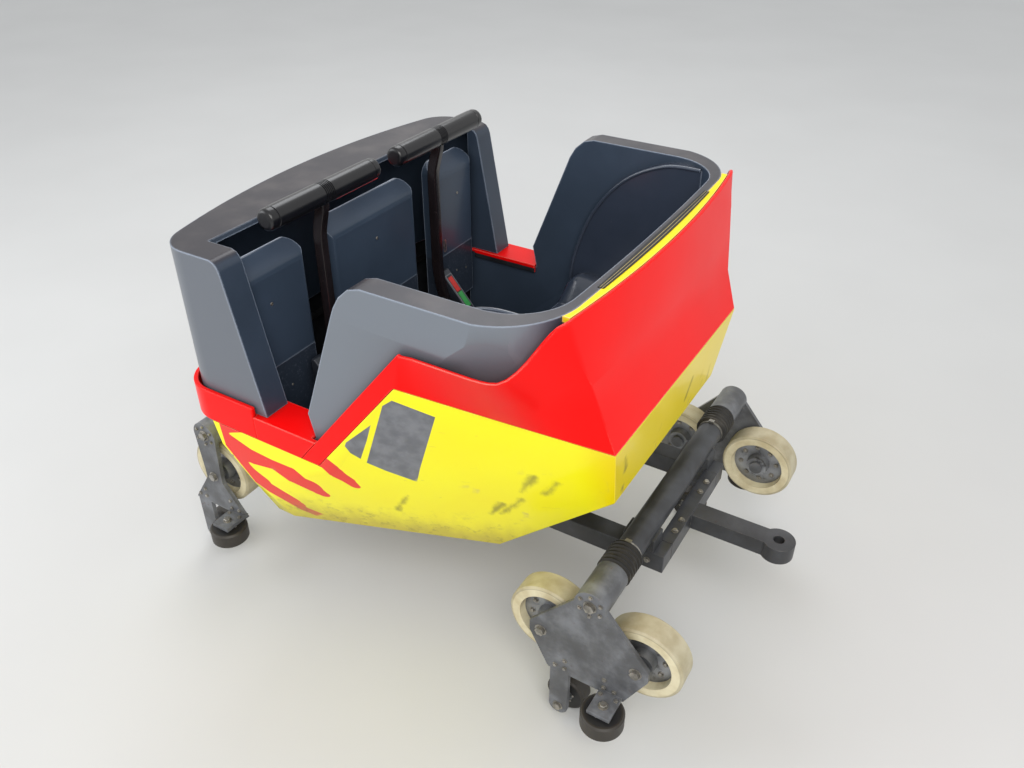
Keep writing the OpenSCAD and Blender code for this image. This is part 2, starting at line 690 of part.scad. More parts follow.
// Thick pad with a sloped top, round edges, and a lower panel below a seam
module knee_pad(y, half_w) {
    low = sill_z - 150;
    seam = sill_z + 50;
    high = bulkhead_z - 56;
    slope = 46;
    round_r = 18;
    sunk = 4;
    side = [[bulkhead_face_x, high], [bulkhead_face_x - 6, high - 2], [pad_face_x + 9, high - slope + 8],
        [pad_face_x + 3, high - slope - 2], [pad_face_x, high - slope - 14]];
    color([0.22, 0.25, 0.3]) intersection() {
        union() {
            side_profile(concat(side, [[pad_face_x, seam], [bulkhead_face_x, seam]]), y - half_w, y + half_w);
            box([pad_face_x + sunk, y - half_w, low], [bulkhead_face_x, y + half_w, seam - 3]);
            box([pad_face_x + 2 * sunk, y - half_w, seam - 4], [bulkhead_face_x, y + half_w, seam + 1]);
        }
        front_profile(y, half_w, low, high, 42, 0, bulkhead_face_x);
        translate([0, y, low]) linear_extrude(high - low) {
            translate([pad_face_x, round_r - half_w]) square([bulkhead_face_x - pad_face_x, 2 * (half_w - round_r)]);
            for (s = [-1, 1]) translate([pad_face_x + round_r, s * (half_w - round_r)]) {
                circle(r = round_r);
                translate([0, -round_r]) square([bulkhead_face_x - pad_face_x - round_r, 2 * round_r]);
            }
        }
    }
}

// Lap bars

boss_half = 20;
boss_r = 26;
pivot_pin_r = 12;

module lap_bracket(side) {
    ear = 8;
    color("dimgray") on_side(side) {
        box([pivot_x - 50, post_y - boss_half - ear - 8, floor_z],
            [pivot_x + 50, post_y + boss_half + ear + 8, floor_z + 8]);
        for (s = [-1, 1]) {
            y0 = post_y + s * (boss_half + 0.5 + ear / 2) - ear / 2;
            side_profile([[pivot_x - 40, floor_z + 7], [pivot_x + 40, floor_z + 7],
                [pivot_x + 22, pivot_z], [pivot_x - 22, pivot_z]], y0, y0 + ear);
            pin_y(pivot_x, pivot_z, y0, y0 + ear, 22);
        }
        pin_y(pivot_x, pivot_z, post_y - boss_half - ear - 3, post_y + boss_half + ear + 3, pivot_pin_r);
    }
}

module lap_post(side) {
    y0 = post_y - post_w / 2;
    y1 = post_y + post_w / 2;
    knee = [-14, grip_z - 226];
    bend = [0, grip_z - 116];
    foot = [pivot_x, pivot_z];
    head = [grip_x, grip_z - grip_r + 8];
    color([0.13, 0.1, 0.1]) on_side(side) difference() {
        union() {
            pin_y(pivot_x, pivot_z, post_y - boss_half, post_y + boss_half, boss_r);
            side_profile(strip([foot, knee, bend, head], post_w), y0, y1);
        }
        pin_y(pivot_x, pivot_z, y0 - 10, y1 + 10, pivot_pin_r + pin_play);
        pin_y(grip_x, grip_z, y0 - 1, y1 + 1, grip_r);
    }
}

module lap_grip(side) {
    half = grip_len / 2;
    split = 3;
    color([0.06, 0.06, 0.06]) on_side(side) translate([grip_x, post_y - 5, grip_z])
        rotate([-90, 0, 0]) rotate_extrude() polygon([[0, -half], [grip_r - 8, -half], [grip_r, -half + 14],
            [grip_r, -split - 2], [grip_r - 3, -split], [grip_r - 3, split], [grip_r, split + 2],
            [grip_r, half - 14], [grip_r - 8, half], [0, half]]);
}

module console(side) {
    color([0.15, 0.16, 0.18]) on_side(side)
        side_profile([[-150, floor_z], [pad_face_x - 1, floor_z], [pad_face_x - 1, sill_z + 6],
            [pad_face_x - 14, sill_z + 8], [-112, sill_z - 140], [-150, sill_z - 196]],
            post_y + 37, post_y + 77);
}

placed() {
    for (s = SIDES) {
        frame_rail(s[1]);
        sill(s[1]);
        lap_bracket(s[1]);
        lap_post(s[1]);
        lap_grip(s[1]);
        console(s[1]);
    }
    cross_members();
    front_coupling();
    rear_coupling();
    for (a = AXLES) axle(a[1]);
    for (c = CORNERS) {
        gaiter(c[1], c[2]);
        carrier(c[1], c[2], c[3]);
        side_wheel(c[1], c[2]);
        upstop_wheel(c[1], c[2]);
        for (w = c[3])
            running_wheel(c[1], c[2], w[1]);
    }
    lower_body();
    floor_panel();
    seat_tub();
    seat_shell();
    seat_divider();
    rear_cowl();
    cowl_flange();
    front_band();
    bulkhead();
    for (p = PADS) knee_pad(p[1], p[2]);
}
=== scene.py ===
"""Looks of a single-row, two-seat roller coaster car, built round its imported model."""
import json
import math

import bmesh
import bpy
from mathutils import Matrix, Vector

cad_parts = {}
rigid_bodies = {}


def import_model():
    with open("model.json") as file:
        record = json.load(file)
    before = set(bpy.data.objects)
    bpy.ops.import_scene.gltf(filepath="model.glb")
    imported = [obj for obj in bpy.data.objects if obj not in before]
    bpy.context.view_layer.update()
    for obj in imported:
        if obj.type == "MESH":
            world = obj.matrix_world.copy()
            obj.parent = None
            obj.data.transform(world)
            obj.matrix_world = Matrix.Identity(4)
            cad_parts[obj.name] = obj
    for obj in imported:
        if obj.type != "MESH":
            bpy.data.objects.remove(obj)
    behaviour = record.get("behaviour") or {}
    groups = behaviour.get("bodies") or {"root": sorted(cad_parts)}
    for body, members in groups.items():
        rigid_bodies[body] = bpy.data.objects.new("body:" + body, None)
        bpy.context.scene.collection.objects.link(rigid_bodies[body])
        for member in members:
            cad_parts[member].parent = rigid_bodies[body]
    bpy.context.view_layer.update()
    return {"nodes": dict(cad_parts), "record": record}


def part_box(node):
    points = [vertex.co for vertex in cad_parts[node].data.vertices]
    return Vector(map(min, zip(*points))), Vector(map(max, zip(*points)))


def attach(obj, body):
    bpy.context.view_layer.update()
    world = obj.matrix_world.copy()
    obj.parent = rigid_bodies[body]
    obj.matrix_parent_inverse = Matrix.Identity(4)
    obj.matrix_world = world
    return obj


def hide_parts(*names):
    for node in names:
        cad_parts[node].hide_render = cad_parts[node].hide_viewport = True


for leftover in list(bpy.data.objects):
    bpy.data.objects.remove(leftover)

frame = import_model()
NODES = frame["nodes"]

# Places below are in millimetres from the datum that the source uses:
# the rear edge of the front bulkhead's sides, the middle and the ground.
MM = 0.001
ORIGIN_X = 422
DECK = 450
SILL_Z = DECK + 323
RIM_Z = DECK + 793
BULKHEAD_Z = DECK + 754
BAND_Z = SILL_Z - 73
HALF_W = 627
SIDES = {"left": 1, "right": -1}
PAD_X = 30
PAD_SEAM_Z = SILL_Z + 50
POST_Y = 263
PIVOT_X, PIVOT_Z = -45, DECK + 144
GRIP_X, GRIP_Z, GRIP_R = -22, DECK + 816, 30
GRIP_Y, GRIP_HALF = POST_Y - 5, 214
TUB_REAR_X, TUB_BOW = -866, 9000
SEAT_FRONT_X, SEAT_Z, SEAT_WING_Y = -372, DECK + 272, 493
# The wheel carriers: their axles, the outside of their plates, and the wheels' middles. The side
# wheels stand WHEEL_DX behind the axle and the up-stop wheels as far ahead of it.
AXLE_X = {"rear": -974, "front": 350}
AXLE_Z = DECK + 42
PLATE_OUT_Y = 517
RUNNING_DX = {"rear": (-134, 134), "front": (0,)}
RUNNING_Z, UPSTOP_Z, SIDE_WHEEL_Y, WHEEL_DX = 329, 57, 561, 75

FORWARD, LEFT, UP = Vector((1, 0, 0)), Vector((0, 1, 0)), Vector((0, 0, 1))


def at(x, y, z):
    """A place given from the datum in millimetres, in the frame's metres."""
    return Vector(((x + ORIGIN_X) * MM, y * MM, z * MM))


def srgb(r, g, b):
    """A colour as it shows, 0 to 255, as linear values."""
    def linear(c):
        c /= 255
        return c / 12.92 if c <= 0.04045 else ((c + 0.055) / 1.055) ** 2.4
    return (linear(r), linear(g), linear(b), 1)


def dimmed(color, share):
    """A share of a linear colour."""
    return tuple(c * share for c in color[:3]) + (1,)


# Node helpers

class Finish:
    """A material's node tree with short calls for the nodes that the finishes share."""

    def __init__(self, name, **sockets):
        self.material = bpy.data.materials.new(name)
        self.material.use_nodes = True
        self.tree = self.material.node_tree
        self.shader = self.tree.nodes["Principled BSDF"]
        for key, value in sockets.items():
            socket = key.replace("_", " ").title().replace("Ior", "IOR")
            self.shader.inputs[socket].default_value = value
        self.place = self.node("ShaderNodeTexCoord").outputs["Object"]
        parts = self.node("ShaderNodeSeparateXYZ", Vector=self.place).outputs
        self.x = self.math("SUBTRACT", self.times(parts["X"], 1 / MM), ORIGIN_X)
        self.y = self.times(parts["Y"], 1 / MM)
        self.z = self.times(parts["Z"], 1 / MM)

    def node(self, kind, **inputs):
        made = self.tree.nodes.new(kind)
        for key, value in inputs.items():
            self.feed(made.inputs[key.replace("_", " ")], value)
        return made

    def feed(self, socket, value):
        if isinstance(value, bpy.types.NodeSocket):
            self.tree.links.new(value, socket)
        else:
            socket.default_value = value

    def math(self, operation, a, b=0.5, c=0.5, clamp=False):
        made = self.tree.nodes.new("ShaderNodeMath")
        made.operation = operation
        made.use_clamp = clamp
        for socket, value in zip(made.inputs, (a, b, c)):
            self.feed(socket, value)
        return made.outputs[0]

    def times(self, a, b):
        return self.math("MULTIPLY", a, b)

    def fold(self, operation, values):
        """One value from many, taken two by two."""
        found, *others = values
        for value in others:
            found = self.math(operation, found, value)
        return found

    def vector(self, operation, a, b=None):
        """A vector, or the number that a dot product or a length gives."""
        made = self.tree.nodes.new("ShaderNodeVectorMath")
        made.operation = operation
        self.feed(made.inputs[0], a)
        if b is not None:
            self.feed(made.inputs[1], b)
        return made.outputs["Value" if operation in ("DOT_PRODUCT", "LENGTH") else "Vector"]

    def normal(self):
        return self.node("ShaderNodeNewGeometry").outputs["Normal"]

    def facing(self):
        """The way that the face looks, as X, Y and Z."""
        return self.node("ShaderNodeSeparateXYZ", Vector=self.normal()).outputs

    def ramp(self, value, low, high, to_low=0.0, to_high=1.0):
        """A smooth step from low to high."""
        made = self.tree.nodes.new("ShaderNodeMapRange")
        made.interpolation_type = "SMOOTHSTEP"
        for socket, number in zip(made.inputs, (value, low, high, to_low, to_high)):
            self.feed(socket, number)
        return made.outputs[0]

    def mix(self, amount, a, b):
        made = self.tree.nodes.new("ShaderNodeMix")
        made.data_type = "RGBA"
        self.feed(made.inputs[0], amount)
        self.feed(made.inputs[6], a)
        self.feed(made.inputs[7], b)
        return made.outputs[2]

    def over(self, color, mask, amount, paint):
        """The colour with a paint over it where the mask is, covering it by the amount."""
        return self.mix(self.times(mask, amount), color, paint)

    def noise(self, scale, detail, roughness=0.5, stretch=(1, 1, 1), distortion=0.0):
        mapping = self.node("ShaderNodeMapping", Vector=self.place, Scale=stretch)
        made = self.node("ShaderNodeTexNoise", Vector=mapping.outputs[0], Scale=scale,
                         Detail=detail, Roughness=roughness, Distortion=distortion)
        return made.outputs["Fac"]

    def patches(self, scale, detail, low, high, *more):
        """Soft patches: one where a noise is high, nothing where it is low."""
        return self.ramp(self.noise(scale, detail, *more), low, high)

    def cells(self, scale):
        mapping = self.node("ShaderNodeMapping", Vector=self.place)
        made = self.node("ShaderNodeTexVoronoi", Vector=mapping.outputs[0], Scale=scale)
        return made.outputs["Distance"]

    def edges(self, radius, low=0.02, high=0.25):
        """One along sharp convex and concave edges, nothing on the flats."""
        rounded_normal = self.node("ShaderNodeBevel", Radius=radius).outputs[0]
        bend = self.vector("DOT_PRODUCT", rounded_normal, self.normal())
        return self.ramp(self.math("SUBTRACT", 1.0, bend), low, high)

    def corners(self, distance):
        """One deep in corners, nothing in the open."""
        made = self.node("ShaderNodeAmbientOcclusion", Distance=distance)
        made.samples = 6
        return self.math("SUBTRACT", 1.0, made.outputs["AO"], clamp=True)

    def inner_side(self, x, z):
        """One on faces turned to the middle of the shell, at x and z, nothing on its outside."""
        soft = 0.004
        from_middle = self.vector("SUBTRACT", self.place, at(x, 0, z))
        return self.ramp(self.vector("DOT_PRODUCT", from_middle, self.normal()), soft, -soft)

    def inside(self, distance):
        """One where a distance in millimetres is below nothing, with a soft edge."""
        soft = 1.2
        return self.ramp(distance, soft / 2, -soft / 2)

    def capsule(self, u, v, start, end):
        """Distance from a round-ended bar between (u, v, radius) points."""
        (u0, v0, r0), (u1, v1, r1) = start, end
        du, dv = u1 - u0, v1 - v0
        square = du * du + dv * dv
        pu, pv = self.math("SUBTRACT", u, u0), self.math("SUBTRACT", v, v0)
        along = self.times(pu, du / square)
        along = self.math("MULTIPLY_ADD", pv, dv / square, along, clamp=True)
        qu = self.math("MULTIPLY_ADD", along, -du, pu)
        qv = self.math("MULTIPLY_ADD", along, -dv, pv)
        reach = self.math("SQRT", self.math("ADD", self.times(qu, qu), self.times(qv, qv)))
        return self.math("SUBTRACT", reach, self.math("MULTIPLY_ADD", along, r1 - r0, r0))

    def chain(self, u, v, points):
        """Distance from a chain of such bars."""
        bars = zip(points, points[1:])
        return self.fold("MINIMUM", [self.capsule(u, v, start, end) for start, end in bars])

    def left_of(self, u, v, start, end):
        """Distance from a line, below nothing on the left of the way from start to end."""
        (u0, v0), (u1, v1) = start, end
        length = math.hypot(u1 - u0, v1 - v0)
        nu, nv = (v1 - v0) / length, (u0 - u1) / length
        across = self.math("MULTIPLY_ADD", v, nv, -(u0 * nu + v0 * nv))
        return self.math("MULTIPLY_ADD", u, nu, across)

    def convex(self, u, v, points):
        """Distance from a convex shape whose corners run counter-clockwise in (u, v)."""
        lines = zip(points, points[1:] + points[:1])
        return self.fold("MAXIMUM", [self.left_of(u, v, start, end) for start, end in lines])

    def square(self, u, v, middle_u, middle_v, half):
        """Distance from an upright square."""
        offsets = [self.math("ABSOLUTE", self.math("SUBTRACT", u, middle_u)),
                   self.math("ABSOLUTE", self.math("SUBTRACT", v, middle_v))]
        return self.math("SUBTRACT", self.fold("MAXIMUM", offsets), half)

    def bump(self, height, strength, distance, below=None):
        made = self.node("ShaderNodeBump", Strength=strength, Distance=distance, Height=height)
        if below is not None:
            self.feed(made.inputs["Normal"], below)
        return made.outputs[0]

    def done(self, color, roughness, normal=None, metallic=None):
        values = {"Base Color": color, "Roughness": roughness, "Normal": normal, "Metallic": metallic}
        for socket, value in values.items():
            if value is not None:
                self.feed(self.shader.inputs[socket], value)
        return self.material


# Finishes

def raw_laminate(f):
    """The bare dark laminate inside the shells."""
    return f.mix(f.patches(20, 5, 0.3, 0.7), srgb(30, 31, 35), srgb(46, 47, 50))


def orange_peel(f):
    """The fine waves of sprayed paint."""
    return f.bump(f.noise(260, 2), 0.02, 0.0005)


def gloss(f):
    """The roughness of gloss paint. It stays on one side of 0.28, where the denoiser sees a step."""
    return f.ramp(f.noise(6, 3), 0.3, 0.8, 0.29, 0.34)


# How much rougher dirt and bare laminate are than gloss paint
DULL = 0.35


def gloss_paint(name, main, worn, shell=None):
    """Glossy sprayed paint with a fine orange peel, soft faded areas, a painted highlight along its
    sharp edges and painted shade in its corners.

    A shell is the x and z of its middle, and the height below which its inside is bare.
    """
    f = Finish(name, coat_weight=0.06, coat_roughness=0.06, specular_ior_level=0.12)
    color = f.over(main, f.patches(2.6, 3, 0.3, 0.75), 0.4, worn)
    # Painted highlight: a pale line along the sharp edges, broken up by a noise.
    rubs = f.times(f.edges(0.005, 0.035, 0.16), f.patches(9, 4, 0.1, 0.45))
    color = f.over(color, rubs, 0.6, srgb(255, 196, 180))
    # Painted shade: darker in the corners.
    color = f.over(color, f.corners(0.02), 0.5, srgb(70, 40, 34))
    rough = gloss(f)
    if shell:
        x, z, top = shell
        bare = f.times(f.inner_side(x, z), f.ramp(f.z, top + 1, top - 1))
        color = f.mix(bare, color, raw_laminate(f))
        rough = f.math("MULTIPLY_ADD", bare, DULL, rough)
    return f.done(color, rough, orange_peel(f))


# The red flame on each flank: fingers as (x, z, radius) along their middles, from tip to root
FLAME = [
    [(-322, 643, 14), (-315, 672, 20), (-296, 704, 25), (-258, 722, 22), (30, 727, 25), (110, 724, 54)],
    [(-206, 563, 16), (-186, 598, 32), (-140, 622, 29), (-65, 632, 17), (10, 628, 26), (110, 640, 42)],
    [(-99, 469, 13), (-84, 480, 21), (-50, 519, 21), (-28, 545, 22), (16, 562, 21), (100, 592, 36)],
]
# Lines as (x, z) pairs with the red on their left: the root of the fingers, and the front corner
FLAME_ROOT = ((101, 670), (17, 584))
FLAME_FRONT = [((18, 536), (108, 627)), ((108, 627), (126, 800))]
FLAME_BLEND = 14
# The two blank grey fields on each flank, as (x, z) corners
GREY_FIELDS = [
    [(-388, 759), (-475, 976), (-500, 997), (-585, 954), (-490, 695)],
    [(-342, 806), (-347, 819), (-432, 904), (-409, 845), (-377, 772)],
]
# The small blank squares on each front corner, as (x, z, half size)
FRONT_SQUARES = [(97, 590, 12), (36, 526, 12)]
# How far out the flank's and the front corner's fields start, as soft edges in y
FLANK_Y, CORNER_Y = (540, 548), (300, 310)
# Dark rubs on the rear of the flank, as (x, z, radius) ends
FLANK_RUBS = [
    ((-772, 761, 9), (-730, 690, 3)), ((-819, 742, 3), (-786, 691, 8)),
    ((-672, 618, 9), (-632, 561, 4)), ((-723, 649, 8), (-658, 564, 4)),
    ((-443, 617, 2), (-387, 527, 4)),
]
# The same on the back, as (y, z, radius) ends
BACK_RUBS = [
    ((330, 820, 4), (312, 770, 9)), ((301, 700, 9), (290, 672, 4)),
    ((-120, 790, 4), (-96, 735, 8)),
]
# The soft edge in x between the flank and the back, and what keeps each one's rubs off the other
BACK_X, FAR_OFF = (-925, -945), 60
# Where the back is painted darker and more orange as shade, and where smears, grime and splashes fade
# in, as soft edges
BACK_SHADE_X, SMEAR_X, SMEAR_Z = (-860, -960), (-480, -720), (820, 690)
GRIME_Z, SPLASH_Z = (610, 470), (580, 420)


def yellow_paint(f):
    """Yellow, the flame and the blank grey fields, before any dirt."""
    side = f.math("ABSOLUTE", f.y)
    color = f.over(srgb(255, 246, 0), f.patches(3.0, 3, 0.35, 0.75), 0.35, srgb(250, 226, 0))
    # Painted shade: the back turns darker and more orange.
    color = f.over(color, f.ramp(f.x, *BACK_SHADE_X), 0.6, srgb(238, 198, 4))
    flame = f.left_of(f.x, f.z, *FLAME_ROOT)
    for bars in FLAME:
        flame = f.math("SMOOTH_MIN", flame, f.chain(f.x, f.z, bars), FLAME_BLEND)
    flame = f.fold("MAXIMUM", [flame] + [f.left_of(f.x, f.z, *line) for line in FLAME_FRONT])
    on_flank = f.ramp(side, *FLANK_Y)
    color = f.mix(f.times(f.inside(flame), on_flank), color, srgb(236, 40, 28))
    fields = f.fold("MINIMUM", [f.convex(f.x, f.z, field) for field in GREY_FIELDS])
    squares = f.fold("MINIMUM", [f.square(f.x, f.z, *spot) for spot in FRONT_SQUARES])
    grey = f.math("MAXIMUM", f.times(f.inside(fields), on_flank),
                  f.times(f.inside(squares), f.ramp(side, *CORNER_Y)))
    tone = f.mix(f.patches(30, 4, 0.3, 0.7), srgb(100, 102, 108), srgb(122, 124, 129))
    return f.mix(grey, color, tone)


def body_rubs(f):
    """One on the dark broken rubs of the flank's rear and of the back."""
    flank = f.fold("MINIMUM", [f.chain(f.x, f.z, bar) for bar in FLANK_RUBS])
    back = f.fold("MINIMUM", [f.chain(f.y, f.z, bar) for bar in BACK_RUBS])
    flank = f.math("ADD", flank, f.ramp(f.x, *BACK_X, 0, FAR_OFF))
    back = f.math("ADD", back, f.ramp(f.x, *reversed(BACK_X), 0, FAR_OFF))
    rubs = f.math("MINIMUM", flank, back)
    broken, break_depth = f.noise(34, 5, 0.65, (1, 1, 0.35)), 40
    return f.ramp(f.math("MULTIPLY_ADD", broken, break_depth, rubs), 30, 8)


def body_yellow():
    """The lower body's paint, with grime low down, dark rubs behind and fine scratches."""
    f = Finish("body_yellow", coat_weight=0.25, coat_roughness=0.08, specular_ior_level=0.3)
    color = yellow_paint(f)
    rubs = body_rubs(f)
    color = f.over(color, rubs, 0.7, srgb(112, 104, 62))

    smears = f.patches(13, 4, 0.6, 0.72, 0.55, (1.3, 1.3, 0.6), 0.5)
    smears = f.times(smears, f.times(f.ramp(f.x, *SMEAR_X), f.ramp(f.z, *SMEAR_Z)))
    color = f.over(color, smears, 0.55, srgb(196, 180, 128))
    scratches = f.patches(60, 3, 0.71, 0.73, 0.6, (0.25, 0.25, 1.8), 0.8)
    color = f.over(color, scratches, 0.3, srgb(170, 158, 100))

    streaks, streak_height = f.noise(13, 5, 0.6, (1, 1, 0.22)), 170
    low = f.ramp(f.math("MULTIPLY_ADD", streaks, streak_height, f.z), *GRIME_Z)
    color = f.over(color, low, 0.6, srgb(168, 146, 84))
    splashes = f.times(f.patches(26, 6, 0.5, 0.72, 0.7), f.ramp(f.z, *SPLASH_Z))
    color = f.over(color, splashes, 0.6, srgb(104, 88, 52))
    # Darker and duller on the faces turned downwards.
    below = f.ramp(f.facing()["Z"], -0.35, -0.75)
    color = f.over(color, below, 0.8, srgb(104, 84, 40))
    # Painted shade: darker in the corners.
    color = f.over(color, f.corners(0.03), 0.65, srgb(96, 76, 30))
    # Painted highlight: pale along the sharp edges, broken up by a noise.
    edge_highlight = f.times(f.edges(0.004), f.patches(40, 4, 0.35, 0.65))
    color = f.over(color, edge_highlight, 0.4, srgb(255, 250, 170))
    bare = f.inner_side(-400, 760)
    color = f.mix(bare, color, raw_laminate(f))
    dull = f.fold("MAXIMUM", [low, below, smears, rubs, bare])
    return f.done(color, f.math("MULTIPLY_ADD", dull, DULL, gloss(f)), orange_peel(f))


def moulding(name, main, outer, top, roughness=0.34, grain=900, strength=0.1, edge=0.7, coat=0.15,
             level=0.3, panel=None):
    """Moulded plastic with a fine grain. The outer colour is a painted reflection on faces turned
    outwards, the top colour a painted shade on faces turned up, and a painted highlight runs pale along
    its edges.

    A panel is the height below which the skin is darker and coarser.
    """
    f = Finish(name, coat_weight=coat, coat_roughness=0.16, specular_ior_level=level)
    way = f.facing()
    # Painted reflection: faces turned outwards take the paler outer colour.
    outward_reflection = f.ramp(f.times(way["Y"], f.math("SIGN", f.y)), 0.3, 0.8)
    color = f.mix(f.patches(5, 4, 0.3, 0.75), dimmed(main, 0.8), main)
    color = f.mix(outward_reflection, color, outer)
    # Painted shade: faces turned up take the top colour.
    color = f.mix(f.ramp(way["Z"], 0.55, 0.95), color, top)
    if panel:
        coarse = f.mix(f.patches(150, 4, 0.56, 0.66, 0.7), srgb(46, 53, 64), srgb(84, 91, 103))
        color = f.over(color, f.ramp(f.z, panel + 2, panel - 2), 0.8, coarse)
    # Painted highlight: pale along the sharp edges, broken up by a noise.
    edge_highlight = f.times(f.edges(0.006, 0.01, 0.1), f.patches(8, 4, 0.1, 0.45))
    color = f.over(color, edge_highlight, edge, srgb(176, 188, 206))
    marks = f.patches(90, 4, 0.7, 0.76, 0.7, (1, 1, 0.3))
    color = f.over(color, marks, 0.12, srgb(170, 170, 172))
    dust = f.times(f.ramp(way["Z"], 0.6, 1.0), f.patches(9, 5, 0.4, 0.8))
    color = f.over(color, dust, 0.16, srgb(150, 140, 134))
    # Painted shade: nearly black in the corners.
    color = f.over(color, f.corners(0.03), 0.45, srgb(12, 12, 14))
    rough = f.math("MULTIPLY_ADD", f.noise(20, 4), 0.1, roughness - 0.05)
    skin = f.bump(f.cells(grain), strength, 0.0004)
    return f.done(color, rough, f.bump(f.noise(14, 2), 0.05, 0.003, skin))


def rubber_floor():
    """Black rubber flooring with raised square studs and trodden-in dust."""
    f = Finish("floor_plastic", specular_ior_level=0.35)
    half_pitch, low, high = 12.5, 5, 8
    rows = [f.ramp(f.math("PINGPONG", way, half_pitch), low, high) for way in (f.x, f.y)]
    studs = f.times(*rows)
    color = f.mix(f.patches(9, 5, 0.35, 0.75), srgb(28, 29, 31), srgb(62, 58, 52))
    color = f.over(color, studs, 0.25, srgb(84, 82, 78))
    return f.done(color, 0.7, f.bump(studs, 0.5, 0.002))


def machine_paint(name, main, grease=0.6, rust=0.35, roughness=0.5):
    """Painted steel with chipped edges, rust specks, grease patches, and painted shade as dark as
    grease in the corners.
    """
    f = Finish(name, specular_ior_level=0.5)
    color = f.mix(f.patches(9, 5, 0.3, 0.75), dimmed(main, 0.6), main)
    chips = f.times(f.edges(0.0035), f.patches(60, 5, 0.45, 0.6, 0.7))
    color = f.mix(chips, color, srgb(150, 146, 140))
    specks = f.patches(38, 6, 0.62, 0.7, 0.75)
    color = f.over(color, specks, rust, srgb(110, 62, 34))
    grease_and_shade = f.times(f.patches(14, 5, 0.3, 0.65, 0.6), grease)
    # Painted shade: the corners darken like the grease.
    grease_and_shade = f.math("MAXIMUM", grease_and_shade, f.corners(0.04))
    color = f.over(color, grease_and_shade, 0.75, srgb(22, 19, 16))
    rough = f.math("MULTIPLY_ADD", specks, 0.3, roughness)
    rough = f.math("MULTIPLY_ADD", grease_and_shade, -0.22, rough)
    return f.done(color, rough, f.bump(f.noise(120, 5), 0.12, 0.0008), f.times(chips, 0.8))


def rubber(name, main, dusty, roughness, dust, coat=0.0):
    """Black rubber with dust that stays in its grooves."""
    f = Finish(name, specular_ior_level=0.4, coat_weight=coat, coat_roughness=0.2)
    settled = f.math("MAXIMUM", f.corners(0.012), f.patches(16, 5, 0.45, 0.75))
    color = f.over(main, settled, dust, dusty)
    return f.done(color, roughness, f.bump(f.noise(420, 3), 0.12, 0.0004))


def wheel(name, tread, worn, hub, hub_radius, tread_radius):
    """A wheel with a cast hub and a bonded tread, by the distance from its own middle."""
    f = Finish(name, specular_ior_level=0.5)
    middle = f.node("ShaderNodeAttribute")
    middle.attribute_type = "OBJECT"
    middle.attribute_name = "hub"
    offset = f.vector("SUBTRACT", f.place, middle.outputs["Vector"])
    reach = f.times(f.vector("LENGTH", offset), 1 / MM)
    soft = 0.6
    rim = f.ramp(reach, hub_radius - soft, hub_radius + soft)
    cloud = f.patches(20, 5, 0.3, 0.75)
    track = f.ramp(reach, tread_radius - 4, tread_radius - 1)
    tread_color = f.over(f.mix(cloud, tread, worn), track, 0.35, srgb(70, 62, 50))
    # Grease patches, and painted shade in the corners of the hub.
    grease = f.math("MAXIMUM", f.corners(0.02), f.patches(30, 5, 0.55, 0.7, 0.6))
    hub_color = f.over(f.mix(cloud, hub, dimmed(hub, 0.55)), grease, 0.6, srgb(26, 22, 18))
    metallic = f.times(f.math("SUBTRACT", 1.0, rim), 0.75)
    rough = f.math("MULTIPLY_ADD", rim, 0.12, 0.4)
    peel = f.bump(f.noise(200, 4), 0.08, 0.0005)
    return f.done(f.mix(rim, hub_color, tread_color), rough, peel, metallic)


def steel(name, main):
    """Plated steel of bolts and pins."""
    f = Finish(name, specular_ior_level=0.5)
    dull = f.patches(60, 5, 0.35, 0.7)
    color = f.mix(dull, main, dimmed(main, 0.5))
    # Painted shade in the corners.
    color = f.over(color, f.corners(0.006), 0.4, srgb(30, 24, 18))
    rough = f.math("MULTIPLY_ADD", dull, 0.2, 0.35)
    return f.done(color, rough, f.bump(f.noise(300, 3), 0.06, 0.0003), 0.9)


def console_finish():
    """Dark plastic with a red and a green field, thinly framed, on the sloped face."""
    f = Finish("console_plastic", specular_ior_level=0.5)
    color = f.mix(f.patches(14, 4, 0.3, 0.7), srgb(36, 40, 46), srgb(56, 60, 68))
    # Up the slope from its foot, 128 mm forward for 148 mm of rise
    foot, run, rise = (-112, SILL_Z - 140), 128, 148
    size = math.hypot(run, rise)
    along = f.math("MULTIPLY_ADD", f.x, run / size, f.times(f.z, rise / size))
    along = f.math("SUBTRACT", along, (foot[0] * run + foot[1] * rise) / size)
    sloped = f.ramp(f.facing()["Z"], 0.2, 0.35)
    lane = f.math("ABSOLUTE", f.math("SUBTRACT", f.math("ABSOLUTE", f.y), POST_Y + 57))
    # The frame, its ground and the two fields: from where to where, half width, colour
    fields = ((0, 178, 17, srgb(118, 122, 128)), (3, 175, 14, srgb(40, 43, 48)),
              (112, 168, 11, srgb(206, 44, 36)), (50, 108, 11, srgb(64, 164, 84)))
    soft = 0.8
    for low, high, half, paint in fields:
        stripe = f.times(f.ramp(along, low - soft, low + soft), f.ramp(along, high + soft, high - soft))
        within = f.times(f.ramp(lane, half + 0.75 * soft, half - 0.75 * soft), sloped)
        worn = f.mix(f.patches(60, 4, 0.5, 0.75), paint, dimmed(paint, 0.6))
        color = f.over(color, stripe, within, worn)
    # Painted highlight along the sharp edges.
    color = f.over(color, f.edges(0.006), 0.35, srgb(140, 146, 156))
    return f.done(color, 0.36, f.bump(f.cells(900), 0.1, 0.0004))


def flat_paint(name, main, roughness=0.4):
    """Paint or film on a small piece, a little uneven, with painted shade in its corners."""
    f = Finish(name, specular_ior_level=0.5)
    color = f.mix(f.patches(30, 5, 0.35, 0.75), main, dimmed(main, 0.8))
    # Painted shade in the corners.
    color = f.over(color, f.corners(0.01), 0.4, srgb(50, 44, 38))
    return f.done(color, roughness, f.bump(f.noise(200, 3), 0.05, 0.0004))


